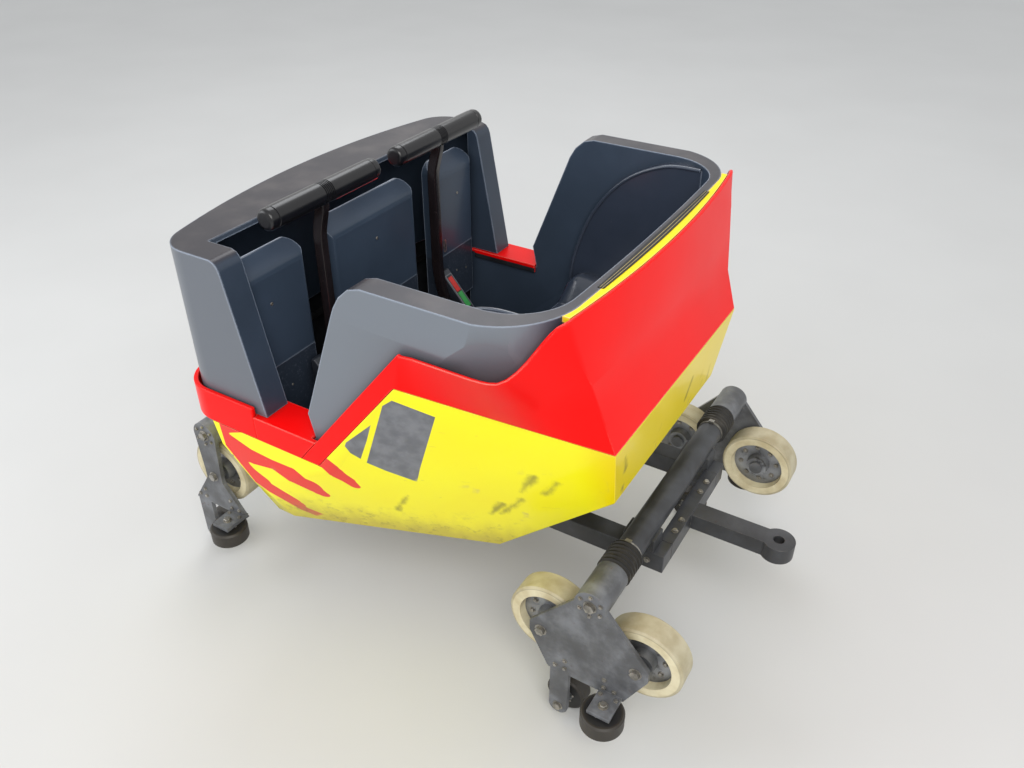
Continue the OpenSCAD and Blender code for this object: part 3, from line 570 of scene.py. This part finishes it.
FINISH = {
    "body_yellow": body_yellow(),
    "body_red": gloss_paint("body_red", srgb(250, 4, 3), srgb(236, 8, 6), (0, 740, SILL_Z - 12)),
    "flange_yellow": gloss_paint("flange_yellow", srgb(255, 232, 10), srgb(246, 210, 24)),
    # Mouldings: the main colour, the painted reflection on faces turned outwards, and the painted shade
    # on faces turned up.
    "tub_plastic": moulding("tub_plastic", srgb(62, 74, 90), srgb(116, 122, 130), srgb(50, 48, 55)),
    "seat_plastic": moulding("seat_plastic", srgb(58, 66, 81), srgb(58, 66, 81), srgb(56, 63, 77),
                             roughness=0.2, grain=700, strength=0.05, edge=0.35, coat=0.5,
                             level=0.5),
    "bulkhead_plastic": moulding("bulkhead_plastic", srgb(56, 67, 82), srgb(104, 109, 117),
                                 srgb(46, 43, 50)),
    "pad_plastic": moulding("pad_plastic", srgb(62, 75, 92), srgb(62, 75, 92), srgb(60, 70, 87),
                            panel=PAD_SEAM_Z),
    "floor_plastic": rubber_floor(),
    "post_paint": machine_paint("post_paint", srgb(36, 29, 30), 0.1, 0.05, 0.22),
    "grip_rubber": rubber("grip_rubber", srgb(15, 15, 19), srgb(44, 44, 50), 0.3, 0.1, 0.3),
    "console_plastic": console_finish(),
    "frame_paint": machine_paint("frame_paint", srgb(74, 76, 80)),
    "carrier_paint": machine_paint("carrier_paint", srgb(132, 134, 138), 0.75, 0.4),
    "gaiter_rubber": rubber("gaiter_rubber", srgb(22, 22, 23), srgb(88, 82, 72), 0.5, 0.6),
    "running_wheel_tread": wheel("running_wheel_tread", srgb(226, 216, 182), srgb(194, 180, 142),
                                 srgb(170, 172, 176), 79, 112),
    "guide_wheel_tread": wheel("guide_wheel_tread", srgb(26, 26, 27), srgb(46, 44, 42),
                               srgb(140, 142, 146), 34, 57),
}
EXTRA = {
    "bolt_steel": steel("bolt_steel", srgb(176, 172, 164)),
    "label_red": flat_paint("label_red", srgb(216, 26, 28)),
    "seal_black": rubber("seal_black", srgb(16, 16, 17), srgb(60, 56, 50), 0.55, 0.3),
    "strip_gold": flat_paint("strip_gold", srgb(176, 156, 96), 0.35),
}


# Rounding of the CAD nodes

def shading_group(angle):
    """Smooth faces, with the edges over an angle kept sharp."""
    group = bpy.data.node_groups.new(f"shade_{round(math.degrees(angle))}", "GeometryNodeTree")
    for way in ("INPUT", "OUTPUT"):
        group.interface.new_socket("Geometry", in_out=way, socket_type="NodeSocketGeometry")
    nodes, links = group.nodes, group.links
    start, end = nodes.new("NodeGroupInput"), nodes.new("NodeGroupOutput")
    drop = nodes.new("GeometryNodeRemoveAttribute")
    drop.inputs["Name"].default_value = "custom_normal"
    faces = nodes.new("GeometryNodeSetShadeSmooth")
    edges = nodes.new("GeometryNodeSetShadeSmooth")
    edges.domain = "EDGE"
    edges.inputs["Shade Smooth"].default_value = False
    bend = nodes.new("GeometryNodeInputMeshEdgeAngle")
    over = nodes.new("FunctionNodeCompare")
    over.operation = "GREATER_THAN"
    over.inputs[1].default_value = angle
    links.new(bend.outputs[0], over.inputs[0])
    links.new(over.outputs[0], edges.inputs["Selection"])
    for before, after in zip((start, drop, faces, edges), (drop, faces, edges, end)):
        links.new(before.outputs[0], after.inputs[0])
    return group


SHADE = shading_group(math.radians(34))
# Corners nearer than this are one, edges over the bevel's angle are rounded, and faces that bend
# less than the flat angle are joined, in metres and degrees
WELD, BEVEL_ANGLE, FLAT_ANGLE = 2e-5, 30, 0.6


def rounded(obj, width, segments=3, flat=FLAT_ANGLE):
    """Joins the split corners, rounds the sharp edges and shades the rest smoothly."""
    weld = obj.modifiers.new("weld", "WELD")
    weld.merge_threshold = WELD
    if flat:
        planar = obj.modifiers.new("planar", "DECIMATE")
        planar.decimate_type = "DISSOLVE"
        planar.angle_limit = math.radians(flat)
    if width:
        bevel = obj.modifiers.new("bevel", "BEVEL")
        bevel.width = width * MM
        bevel.segments = segments
        bevel.limit_method = "ANGLE"
        bevel.angle_limit = math.radians(BEVEL_ANGLE)
        bevel.use_clamp_overlap = True
    shade = obj.modifiers.new("shade", "NODES")
    shade.node_group = SHADE
    even = obj.modifiers.new("even", "WEIGHTED_NORMAL")
    even.keep_sharp = True


# The rounding of each node's edges in millimetres, by how its name starts
ROUNDING = {
    "lower_body": 4, "seat_tub": 8, "rear_cowl": 4, "cowl_flange": 1.5, "front_band": 4,
    "bulkhead": 12, "floor_panel": 1, "seat_shell": 5, "seat_divider": 5, "knee_pad": 5, "sill": 2.5,
    "lap_post": 4, "lap_grip": 2, "lap_bracket": 1, "console": 4, "frame_rail": 3,
    "cross_members": 2, "front_coupling": 2, "rear_coupling": 2, "rear_axle": 2, "front_axle": 2,
    "carrier": 1.5,
}


def dress_nodes():
    """Gives each CAD node its finish and its rounding, and each wheel the place of its middle."""
    slots = {material["slot"] for material in frame["record"]["materials"]}
    assert slots <= set(FINISH), sorted(slots - set(FINISH))
    for name, obj in NODES.items():
        for index, old in enumerate(obj.data.materials):
            obj.material_slots[index].link = "OBJECT"
            obj.material_slots[index].material = FINISH[old.name.split(".")[0]]
        key = next((k for k in ROUNDING if name.startswith(k)), None)
        turned = "wheel" in name or "gaiter" in name
        rounded(obj, ROUNDING.get(key, 0), flat=0 if turned else FLAT_ANGLE)
        if "wheel" in name:
            low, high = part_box(name)
            obj["hub"] = list((low + high) / 2)


# Mesh helpers

def piece(name, mesh, finish, body="car", bevel=0):
    """An object from a mesh, with its finish, riding a body."""
    made = bpy.data.meshes.new(name)
    mesh.to_mesh(made)
    mesh.free()
    obj = bpy.data.objects.new(name, made)
    bpy.context.scene.collection.objects.link(obj)
    made.materials.append(EXTRA.get(finish) or FINISH[finish])
    for face in made.polygons:
        face.use_smooth = True
    rounded(obj, bevel, 2)
    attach(obj, body)
    return obj


def frame_of(axis):
    """A turn that takes +Z to the axis."""
    return UP.rotation_difference(axis.normalized()).to_matrix().to_4x4()


def circle(steps):
    """The angles of points round a circle."""
    return [2 * math.pi * i / steps for i in range(steps)]


def spun(r, angle, height=0):
    """A point about +Z, from a radius and a height in millimetres, in metres."""
    return Vector((r * MM * math.cos(angle), r * MM * math.sin(angle), height * MM))


def bridge(bm, low, high):
    """Faces between two rings of corners."""
    for i in range(len(low)):
        j = (i + 1) % len(low)
        bm.faces.new((low[i], low[j], high[j], high[i]))


def skin(bm, rings, closed=False):
    """Faces along rings of points. The last ring meets the first, or both ends are flat."""
    rings = [[bm.verts.new(p) for p in ring] for ring in rings]
    for low, high in zip(rings, rings[1:] + rings[:1] if closed else rings[1:]):
        bridge(bm, low, high)
    if not closed:
        bm.faces.new(list(reversed(rings[0])))
        bm.faces.new(rings[-1])
    return bm


def lathe(bm, profile, place, axis, steps):
    """A closed turned solid: (radius, height) points from axis to axis, at a place along an axis."""
    turn = Matrix.Translation(place) @ frame_of(axis)
    rings = [[bm.verts.new(turn @ spun(r, a, h)) for a in (circle(steps) if r else [0])]
             for r, h in profile]
    for low, high in zip(rings, rings[1:]):
        for i in range(steps):
            j = (i + 1) % steps
            quad = [low[i % len(low)], low[j % len(low)], high[j % len(high)], high[i % len(high)]]
            corners = list(dict.fromkeys(quad))
            if len(corners) > 2:
                bm.faces.new(corners)
    return bm


def lathe_ring(bm, profile, place, axis, steps):
    """A turned ring whose (radius, height) profile closes on itself."""
    turn = Matrix.Translation(place) @ frame_of(axis)
    return skin(bm, [[turn @ spun(r, a, h) for a in circle(steps)] for r, h in profile], closed=True)


def prism(bm, outline, depth):
    """A flat plate: corner points in order, thickened along a vector."""
    low, high = [[bm.verts.new(p + way) for p in outline] for way in (depth * 0, depth)]
    bm.faces.new(list(reversed(low)))
    bm.faces.new(high)
    bridge(bm, low, high)
    return bm


def tube(bm, points, r, steps):
    """A round bead through points, closed at both ends."""
    ahead = points[1:] + points[-1:]
    behind = points[:1] + points[:-1]
    turns = [Matrix.Translation(p) @ frame_of(b - a) for p, a, b in zip(points, behind, ahead)]
    return skin(bm, [[turn @ spun(r, a) for a in circle(steps)] for turn in turns])


def rounded_box(half_u, half_v, r, steps):
    """Corner points of a box with round corners, counter-clockwise, as (u, v) pairs."""
    points = []
    for su, sv in ((1, 1), (-1, 1), (-1, -1), (1, -1)):
        for k in range(steps + 1):
            a = math.atan2(sv, su) - math.pi / 4 + k * math.pi / 2 / steps
            points.append((su * (half_u - r) + r * math.cos(a), sv * (half_v - r) + r * math.sin(a)))
    return points


def curve_through(points, steps):
    """The smooth curve that the source draws through its points."""
    found = []
    for i in range(len(points) - 1):
        a, b = Vector(points[max(i - 1, 0)]), Vector(points[i])
        c, d = Vector(points[i + 1]), Vector(points[min(i + 2, len(points) - 1)])
        for k in range(steps):
            u = k / steps
            bend = 2 * a - 5 * b + 4 * c - d + u * (3 * b - a - 3 * c + d)
            found.append(b + 0.5 * u * (c - a + u * bend))
    return found + [Vector(points[-1])]


def bolt(bm, place, axis, size, washer=True):
    """A hex head on its washer, seated on a face."""
    across, sunk, thick, bevel = size * 0.9, 0.3, 1.4, 0.3
    base = thick if washer else 0
    if washer:
        r = size * 1.15
        lathe(bm, [(0, -sunk), (r, -sunk), (r, thick - bevel), (size * 1.05, thick), (0, thick)],
              place, axis, 24)
    high, low = base + size * 0.62, base - 0.2
    lathe(bm, [(0, low), (across, low), (across, high - 1), (across * 0.86, high), (0, high)],
          place, axis, 6)


def screw(bm, place, axis, r, high):
    """A low round head with a socket in it."""
    sunk, shoulder, socket_r = 0.3, high * 0.4, r * 0.42
    lathe(bm, [(0, -sunk), (r, -sunk), (r, shoulder), (r * 0.8, high), (socket_r, high),
               (socket_r, shoulder), (0, shoulder)], place, axis, 18)


# Trim of the tub, the seats and the lap bars

def rim_strip():
    """The rubber strip over the joint of the tub's rim and the yellow flange, with two gilt lines."""
    reach, steps, thick, taper = 320, 32, 1.6, 0.35

    def band(start, end, low, high):
        """A flat band along the rim between two distances behind the tub's edge."""
        inner, outer = [], []
        for i in range(steps + 1):
            y = reach * (2 * i / steps - 1)
            edge = TUB_REAR_X + TUB_BOW - math.sqrt(TUB_BOW ** 2 - y * y)
            narrow = 1 - taper * (y / reach) ** 2
            inner.append(at(edge - start * narrow, y, low))
            outer.append(at(edge - end * narrow, y, low))
        return inner + list(reversed(outer)), UP * (high - low) * MM

    strip = prism(bmesh.new(), *band(-15, 9, RIM_Z - 0.2, RIM_Z + thick))
    piece("rim_strip", strip, "seal_black", bevel=0.6)
    lines, half, sunk, proud = bmesh.new(), 0.8, 0.4, 0.5
    for middle in (-6, 3):
        prism(lines, *band(middle - half, middle + half, RIM_Z + thick - sunk, RIM_Z + thick + proud))
    piece("rim_strip_lines", lines, "strip_gold")


def seat_lips():
    """The rolled lip along the arch of each seat side."""
    arch = [(SEAT_FRONT_X, SEAT_Z), (-382, SEAT_Z + 129), (-441, SEAT_Z + 300), (-540, RIM_Z - 92),
            (-663, RIM_Z - 24), (-776, RIM_Z - 14)]
    points = curve_through(arch, 6)
    for side, sign in SIDES.items():
        bead = [at(p.x, sign * (SEAT_WING_Y + 1), p.y - 1) for p in points]
        piece(f"seat_lip_{side}", tube(bmesh.new(), bead, 5.5, 12), "seat_plastic")


def seat_bolsters():
    """The raised thigh support along the outer side of each seat."""
    pan_z, outer_y, foot_z = 712, 500, DECK + 250
    # The section's (y, z) corners, from the pan over the ridge to the side wall
    section = [(402, pan_z), (416, 738), (438, 774), (450, 796), (461, 806), (478, 811),
               (outer_y, 811)]
    # Along it: x, its share of the full height, and how far out its foot and its top reach
    lengths = [(-364, 0.1, 500, 500), (-368, 0.36, 500, 500), (-376, 0.62, 500, 500),
               (-388, 0.82, 500, 500), (-404, 0.95, 498, 500), (-422, 1, 494, 500),
               (-450, 0.99, 488, 500), (-480, 0.96, 482, 500), (-520, 0.88, 468, 494),
               (-556, 0.7, 453, 486)]
    for side, sign in SIDES.items():
        rings = []
        for x, share, foot_y, top_y in lengths:
            ring = [(y + top_y - outer_y, pan_z + (z - pan_z) * share) for y, z in section]
            ring += [(foot_y, foot_z), (section[0][0] + foot_y - outer_y, foot_z)]
            rings.append([at(x, sign * y, z) for y, z in ring])
        bm = skin(bmesh.new(), rings)
        bmesh.ops.recalc_face_normals(bm, faces=bm.faces)
        piece(f"seat_bolster_{side}", bm, "seat_plastic")


def grips():
    """Each lap bar's grip: two sleeves with fine grooves at the post, and round capped ends."""
    half, r, groove = GRIP_HALF, GRIP_R, 2.2
    profile = [(0, half), (r - 13, half), (r - 7, half - 1.6), (r - 3, half - 5), (r - 1, half - 11),
               (r - 0.8, half - 25), (r - groove, half - 26), (r - groove, half - 27.5),
               (r, half - 28.5), (r, 60)]
    for d in (15, 9, 3):
        profile += [(r, d + 2), (r - groove, d + 1.3), (r - groove, d - 1.3), (r, d - 2)]
    profile = [(a, -h) for a, h in profile] + list(reversed(profile))
    for side, sign in SIDES.items():
        bm = lathe(bmesh.new(), profile, at(GRIP_X, sign * GRIP_Y, GRIP_Z), LEFT, 64)
        obj = piece(f"grip_{side}", bm, "grip_rubber", f"lap_bar_{side}")
        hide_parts(f"lap_grip_{side}")


def posts():
    """Each lap bar's post: a slim bent bar with rounded corners, on its turned boss."""
    path = curve_through([(-43, 612), (-20, 704), (-3, 772), (3, 838), (3, 960), (3, 1100), (1, 1150),
                          (-7, 1186), (-17, 1222), (-20, 1244)], 4)
    ahead, behind = path[1:] + path[-1:], path[:1] + path[:-1]
    section = rounded_box(13, 16, 5, 3)
    # The boss as (radius, y): its bore, its outside and half its length
    bore, r, half = 12.2, 26, 20
    boss = [(bore, 1 - half), (bore + 1.3, -half), (r - 1.5, -half), (r, 1.5 - half),
            (r, half - 1.5), (r - 1.5, half), (bore + 1.3, half), (bore, half - 1)]
    for side, sign in SIDES.items():
        rings = []
        for p, a, b in zip(path, behind, ahead):
            way = (b - a).normalized()
            rings.append([at(p.x + n * way.y, sign * POST_Y + y, p.y - n * way.x)
                          for y, n in section])
        bm = skin(bmesh.new(), rings)
        lathe_ring(bm, boss, at(PIVOT_X, sign * POST_Y, PIVOT_Z), LEFT, 40)
        bmesh.ops.recalc_face_normals(bm, faces=bm.faces)
        obj = piece(f"post_{side}", bm, "post_paint", f"lap_bar_{side}")
        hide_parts(f"lap_post_{side}")


def front_line(half_w, front, r):
    """The bow across the front and its corners, from left to right, as (x, y) pairs."""
    bow, steps = 2200, 8
    apex_x = front - bow
    corner_x = apex_x + math.sqrt((bow - r) ** 2 - (half_w - r) ** 2)
    turn = math.asin((half_w - r) / (bow - r))
    points = []
    for i in range(steps + 1):
        a = math.pi / 2 + (turn - math.pi / 2) * i / steps
        points.append((corner_x + r * math.cos(a), half_w - r + r * math.sin(a)))
    for i in range(1, steps + 1):
        a = turn * (1 - i / steps)
        points.append((apex_x + bow * math.cos(a), bow * math.sin(a)))
    return points + [(x, -y) for x, y in reversed(points[:-1])]


def band_seal():
    """The rubber strip that closes the joint between the lower body's edge and the front band."""
    lip, wide, front, corner, raised, thick = 14.5, 34, 320, 112, 1, 4
    outer, inner = [front_line(HALF_W - d, front - d, corner - d) for d in (lip, lip + wide)]
    outline = [at(x, y, BAND_Z + raised) for x, y in outer + list(reversed(inner))]
    piece("band_seal", prism(bmesh.new(), outline, UP * thick * MM), "seal_black")


def hub_details():
    """The bolts of every running wheel's hub and the screws of the other wheels' caps."""
    for name in NODES:
        if "wheel" not in name:
            continue
        low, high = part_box(name)
        axis = UP if name.startswith("side") else LEFT
        running = name.startswith("running")
        # How many, their circle's radius, the first one's angle, and how far out their seat is
        if running:
            count, circle_r, first, seat = 8, 57, 11, 10
        else:
            count, circle_r, first, seat = 6, 25, 14, (high - low).dot(axis) / 2 / MM
        bm = bmesh.new()
        for out in (axis, -axis):
            for i in range(count):
                spot = spun(circle_r, math.radians(360 / count * i + first))
                spot = (low + high) / 2 + frame_of(axis) @ spot + out * seat * MM
                if running:
                    bolt(bm, spot, out, 7)
                else:
                    screw(bm, spot, out, 3.5, 2)
        piece(f"hub_bolts_{name}", bm, "bolt_steel", name)


def pad_screws():
    """A screw high up in each pad, and the small ones below the seam."""
    bm = bmesh.new()
    for y, z in ((446, 1010), (0, 1022), (-428, 1018)):
        screw(bm, at(PAD_X, y, z), -FORWARD, 5, 1.6)
    lower_x = PAD_X + 4
    for y, z in ((-416, 735), (-473, 722), (416, 735), (473, 722), (-150, 735), (150, 735)):
        screw(bm, at(lower_x, y, z), -FORWARD, 4, 1.4)
    piece("pad_screws", bm, "bolt_steel")


def pad_slot():
    """The oval plate with a slot on the right pad, above the seam."""
    y, z, half, r, steps = -344, 858, 16, 7.5, 24
    sunk, proud = 0.4, 1.8
    rings = []
    for radius, x in ((r * 0.45, sunk), (r, sunk), (r, -proud), (r * 0.45, -proud)):
        ring = []
        for k in range(steps):
            a = 2 * math.pi * (k + 0.5) / steps
            rise = math.copysign(half, math.sin(a)) + radius * math.sin(a)
            ring.append(at(PAD_X + x, y + radius * math.cos(a), z + rise))
        rings.append(ring)
    piece("pad_slot", skin(bmesh.new(), rings, closed=True), "bolt_steel")


def label():
    """The blank red plate on the slope behind the pads, under the bulkhead's rim."""
    low, high = at(100, 0, BULKHEAD_Z - 46), at(118, 0, BULKHEAD_Z - 12)
    sunk, thick = 0.3, 19
    up = (high - low).normalized()
    out = up.cross(LEFT) if up.cross(LEFT).x < 0 else LEFT.cross(up)
    middle = (low + high) / 2 - out * sunk * MM
    outline = [middle + LEFT * u * MM + up * v * MM for u, v in rounded_box(95, 18, 4, 4)]
    piece("label_plate", prism(bmesh.new(), outline, out * thick * MM), "label_red")


# Machinery

def carrier_fasteners():
    """Nuts on the wheels' pins, and the bolts of each carrier's plate, bracket and hub."""
    for end, x0 in AXLE_X.items():
        for side, sign in SIDES.items():
            bm = bmesh.new()

            def on_plate(dx, z, size):
                bolt(bm, at(x0 + dx, sign * PLATE_OUT_Y, z), LEFT * sign, size)

            for dx in RUNNING_DX[end]:
                on_plate(dx, RUNNING_Z, 15)
            on_plate(WHEEL_DX, UPSTOP_Z, 13)
            on_plate(0, AXLE_Z, 16)
            for i in range(6):
                a = math.radians(60 * i + 30)
                on_plate(32 * math.cos(a), AXLE_Z + 32 * math.sin(a), 5.5)
            for dx, z in ((-84, 222), (-54, 222), (60, 222), (88, 222), (60, 252), (-54, 252)):
                on_plate(dx, z, 6)
            side_x, top_z, bottom_z = x0 - WHEEL_DX, 212, 134
            bolt(bm, at(side_x, sign * SIDE_WHEEL_Y, top_z), UP, 12)
            bolt(bm, at(side_x, sign * SIDE_WHEEL_Y, bottom_z), -UP, 10)
            for dx in (-22, 22):
                bolt(bm, at(side_x + dx, sign * 532, top_z), UP, 5.5)
            piece(f"carrier_bolts_{end}_{side}", bm, "bolt_steel")


def gaiter_clamps():
    """A band and its screw housing at the inner end of each gaiter."""
    r, thick, half_w, top_z = 35.8, 2.4, 4.5, AXLE_Z + 37.5
    band = [(r, -half_w), (r + thick, -half_w), (r + thick, half_w), (r, half_w)]
    for end, x in AXLE_X.items():
        for side, sign in SIDES.items():
            bm = bmesh.new()
            y = sign * 302
            lathe_ring(bm, band, at(x, y, AXLE_Z), LEFT, 48)
            corners = ((-8, -6), (8, -6), (8, 6), (-8, 6))
            prism(bm, [at(x + dx, y + dy, top_z) for dx, dy in corners], UP * 6 * MM)
            bolt(bm, at(x + 8, y, top_z + 3), FORWARD, 3, False)
            piece(f"gaiter_clamp_{end}_{side}", bm, "bolt_steel")


def frame_fasteners():
    """Bolts through the rails at the axles' saddles and under the cross members."""
    bm = bmesh.new()
    rail_y, rail_out_y = 200, 230
    for sign in (1, -1):
        out = LEFT * sign
        for x0 in AXLE_X.values():
            for dx in (-30, 30):
                bolt(bm, at(x0 + dx, sign * rail_out_y, DECK - 30), out, 8)
        for x in (-560, -120, 98):
            for dx in (-17, 17):
                bolt(bm, at(x + dx, sign * rail_out_y, DECK - 44), out, 6)
                bolt(bm, at(x + dx, sign * rail_y, DECK - 60), -UP, 7)
        for x, size in ((-1036, 8), (392, 5)):
            for y in (70, 120):
                bolt(bm, at(x, sign * y, DECK), UP, size)
    piece("frame_bolts", bm, "bolt_steel")


def bracket_fasteners():
    """Bolts in the feet of the lap bars' brackets, and the nuts of their pins."""
    bm = bmesh.new()
    foot_top_z, cheek_y = DECK + 20, 31
    for sign in SIDES.values():
        for dx in (-44, 44):
            for dy in (-28, 28):
                bolt(bm, at(PIVOT_X + dx, sign * POST_Y + dy, foot_top_z), UP, 4.5)
        for way in (1, -1):
            bolt(bm, at(PIVOT_X, sign * POST_Y + way * cheek_y, PIVOT_Z), LEFT * way, 9)
    piece("bracket_bolts", bm, "bolt_steel")


# Stage

def add_camera():
    """The photo's view of the car, a little wider."""
    camera = bpy.data.objects.new("camera", bpy.data.cameras.new("camera"))
    bpy.context.scene.collection.objects.link(camera)
    camera.data.lens = 31
    camera.data.sensor_width = 36
    camera.location = (-1.146, 1.8715, 2.1437)
    aim = Vector((-0.02, 0.0, 0.66))
    camera.rotation_euler = (aim - camera.location).to_track_quat("-Z", "Y").to_euler()
    bpy.context.scene.camera = camera


def add_floor():
    """A pale plain floor."""
    bm = bmesh.new()
    bmesh.ops.create_grid(bm, x_segments=1, y_segments=1, size=14)
    mesh = bpy.data.meshes.new("floor")
    bm.to_mesh(mesh)
    bm.free()
    floor = bpy.data.objects.new("floor", mesh)
    bpy.context.scene.collection.objects.link(floor)
    f = Finish("floor_pale", specular_ior_level=0.2)
    color = f.mix(f.noise(1.2, 4), srgb(206, 205, 202), srgb(214, 213, 210))
    mesh.materials.append(f.done(color, 0.85))


def add_sky():
    """A soft bluish sky that lights the car, and a pale plain one where it is seen or mirrored."""
    world = bpy.data.worlds.new("studio")
    bpy.context.scene.world = world
    world.use_nodes = True
    nodes, links = world.node_tree.nodes, world.node_tree.links
    rays = nodes.new("ShaderNodeLightPath").outputs

    def most(a, b):
        made = nodes.new("ShaderNodeMath")
        made.operation = "MAXIMUM"
        links.new(a, made.inputs[0])
        links.new(b, made.inputs[1])
        return made.outputs[0]

    blend = nodes.new("ShaderNodeMixShader")
    mirrored = most(rays["Is Glossy Ray"], rays["Is Transmission Ray"])
    links.new(most(rays["Is Camera Ray"], mirrored), blend.inputs[0])
    skies = [(nodes["Background"], (0.93, 0.96, 1.0, 1), 0.8),
             (nodes.new("ShaderNodeBackground"), srgb(232, 232, 231), 1.0)]
    for socket, (sky, color, strength) in zip((blend.inputs[1], blend.inputs[2]), skies):
        sky.inputs["Color"].default_value = color
        sky.inputs["Strength"].default_value = strength
        links.new(sky.outputs[0], socket)
    links.new(blend.outputs[0], nodes["World Output"].inputs["Surface"])


# Round lamps: name, place, size in metres, watts, tint
LAMPS = [
    ("key", (-2.6, 3.4, 4.2), 3.2, 150, (1.0, 0.98, 0.95)),
    ("fill", (3.6, 2.6, 2.6), 3.0, 60, (0.93, 0.96, 1.0)),
    ("back", (2.4, -3.4, 5.6), 3.4, 90, (0.95, 0.97, 1.0)),
]


def add_lamps():
    """The lamps, all turned to the car's middle."""
    aim = Vector((0, 0, 0.6))
    for name, place, size, power, tint in LAMPS:
        light = bpy.data.lights.new(name, "AREA")
        light.shape = "DISK"
        light.size = size
        light.energy = power
        light.color = tint
        lamp = bpy.data.objects.new(name, light)
        lamp.location = place
        lamp.rotation_euler = (aim - Vector(place)).to_track_quat("-Z", "Y").to_euler()
        bpy.context.scene.collection.objects.link(lamp)


add_camera()
add_floor()
add_sky()
add_lamps()
bpy.context.scene.view_settings.view_transform = "Standard"

dress_nodes()
band_seal()
rim_strip()
seat_lips()
seat_bolsters()
grips()
posts()
hub_details()
pad_screws()
pad_slot()
label()
carrier_fasteners()
gaiter_clamps()
frame_fasteners()
bracket_fasteners()

bpy.context.view_layer.update()
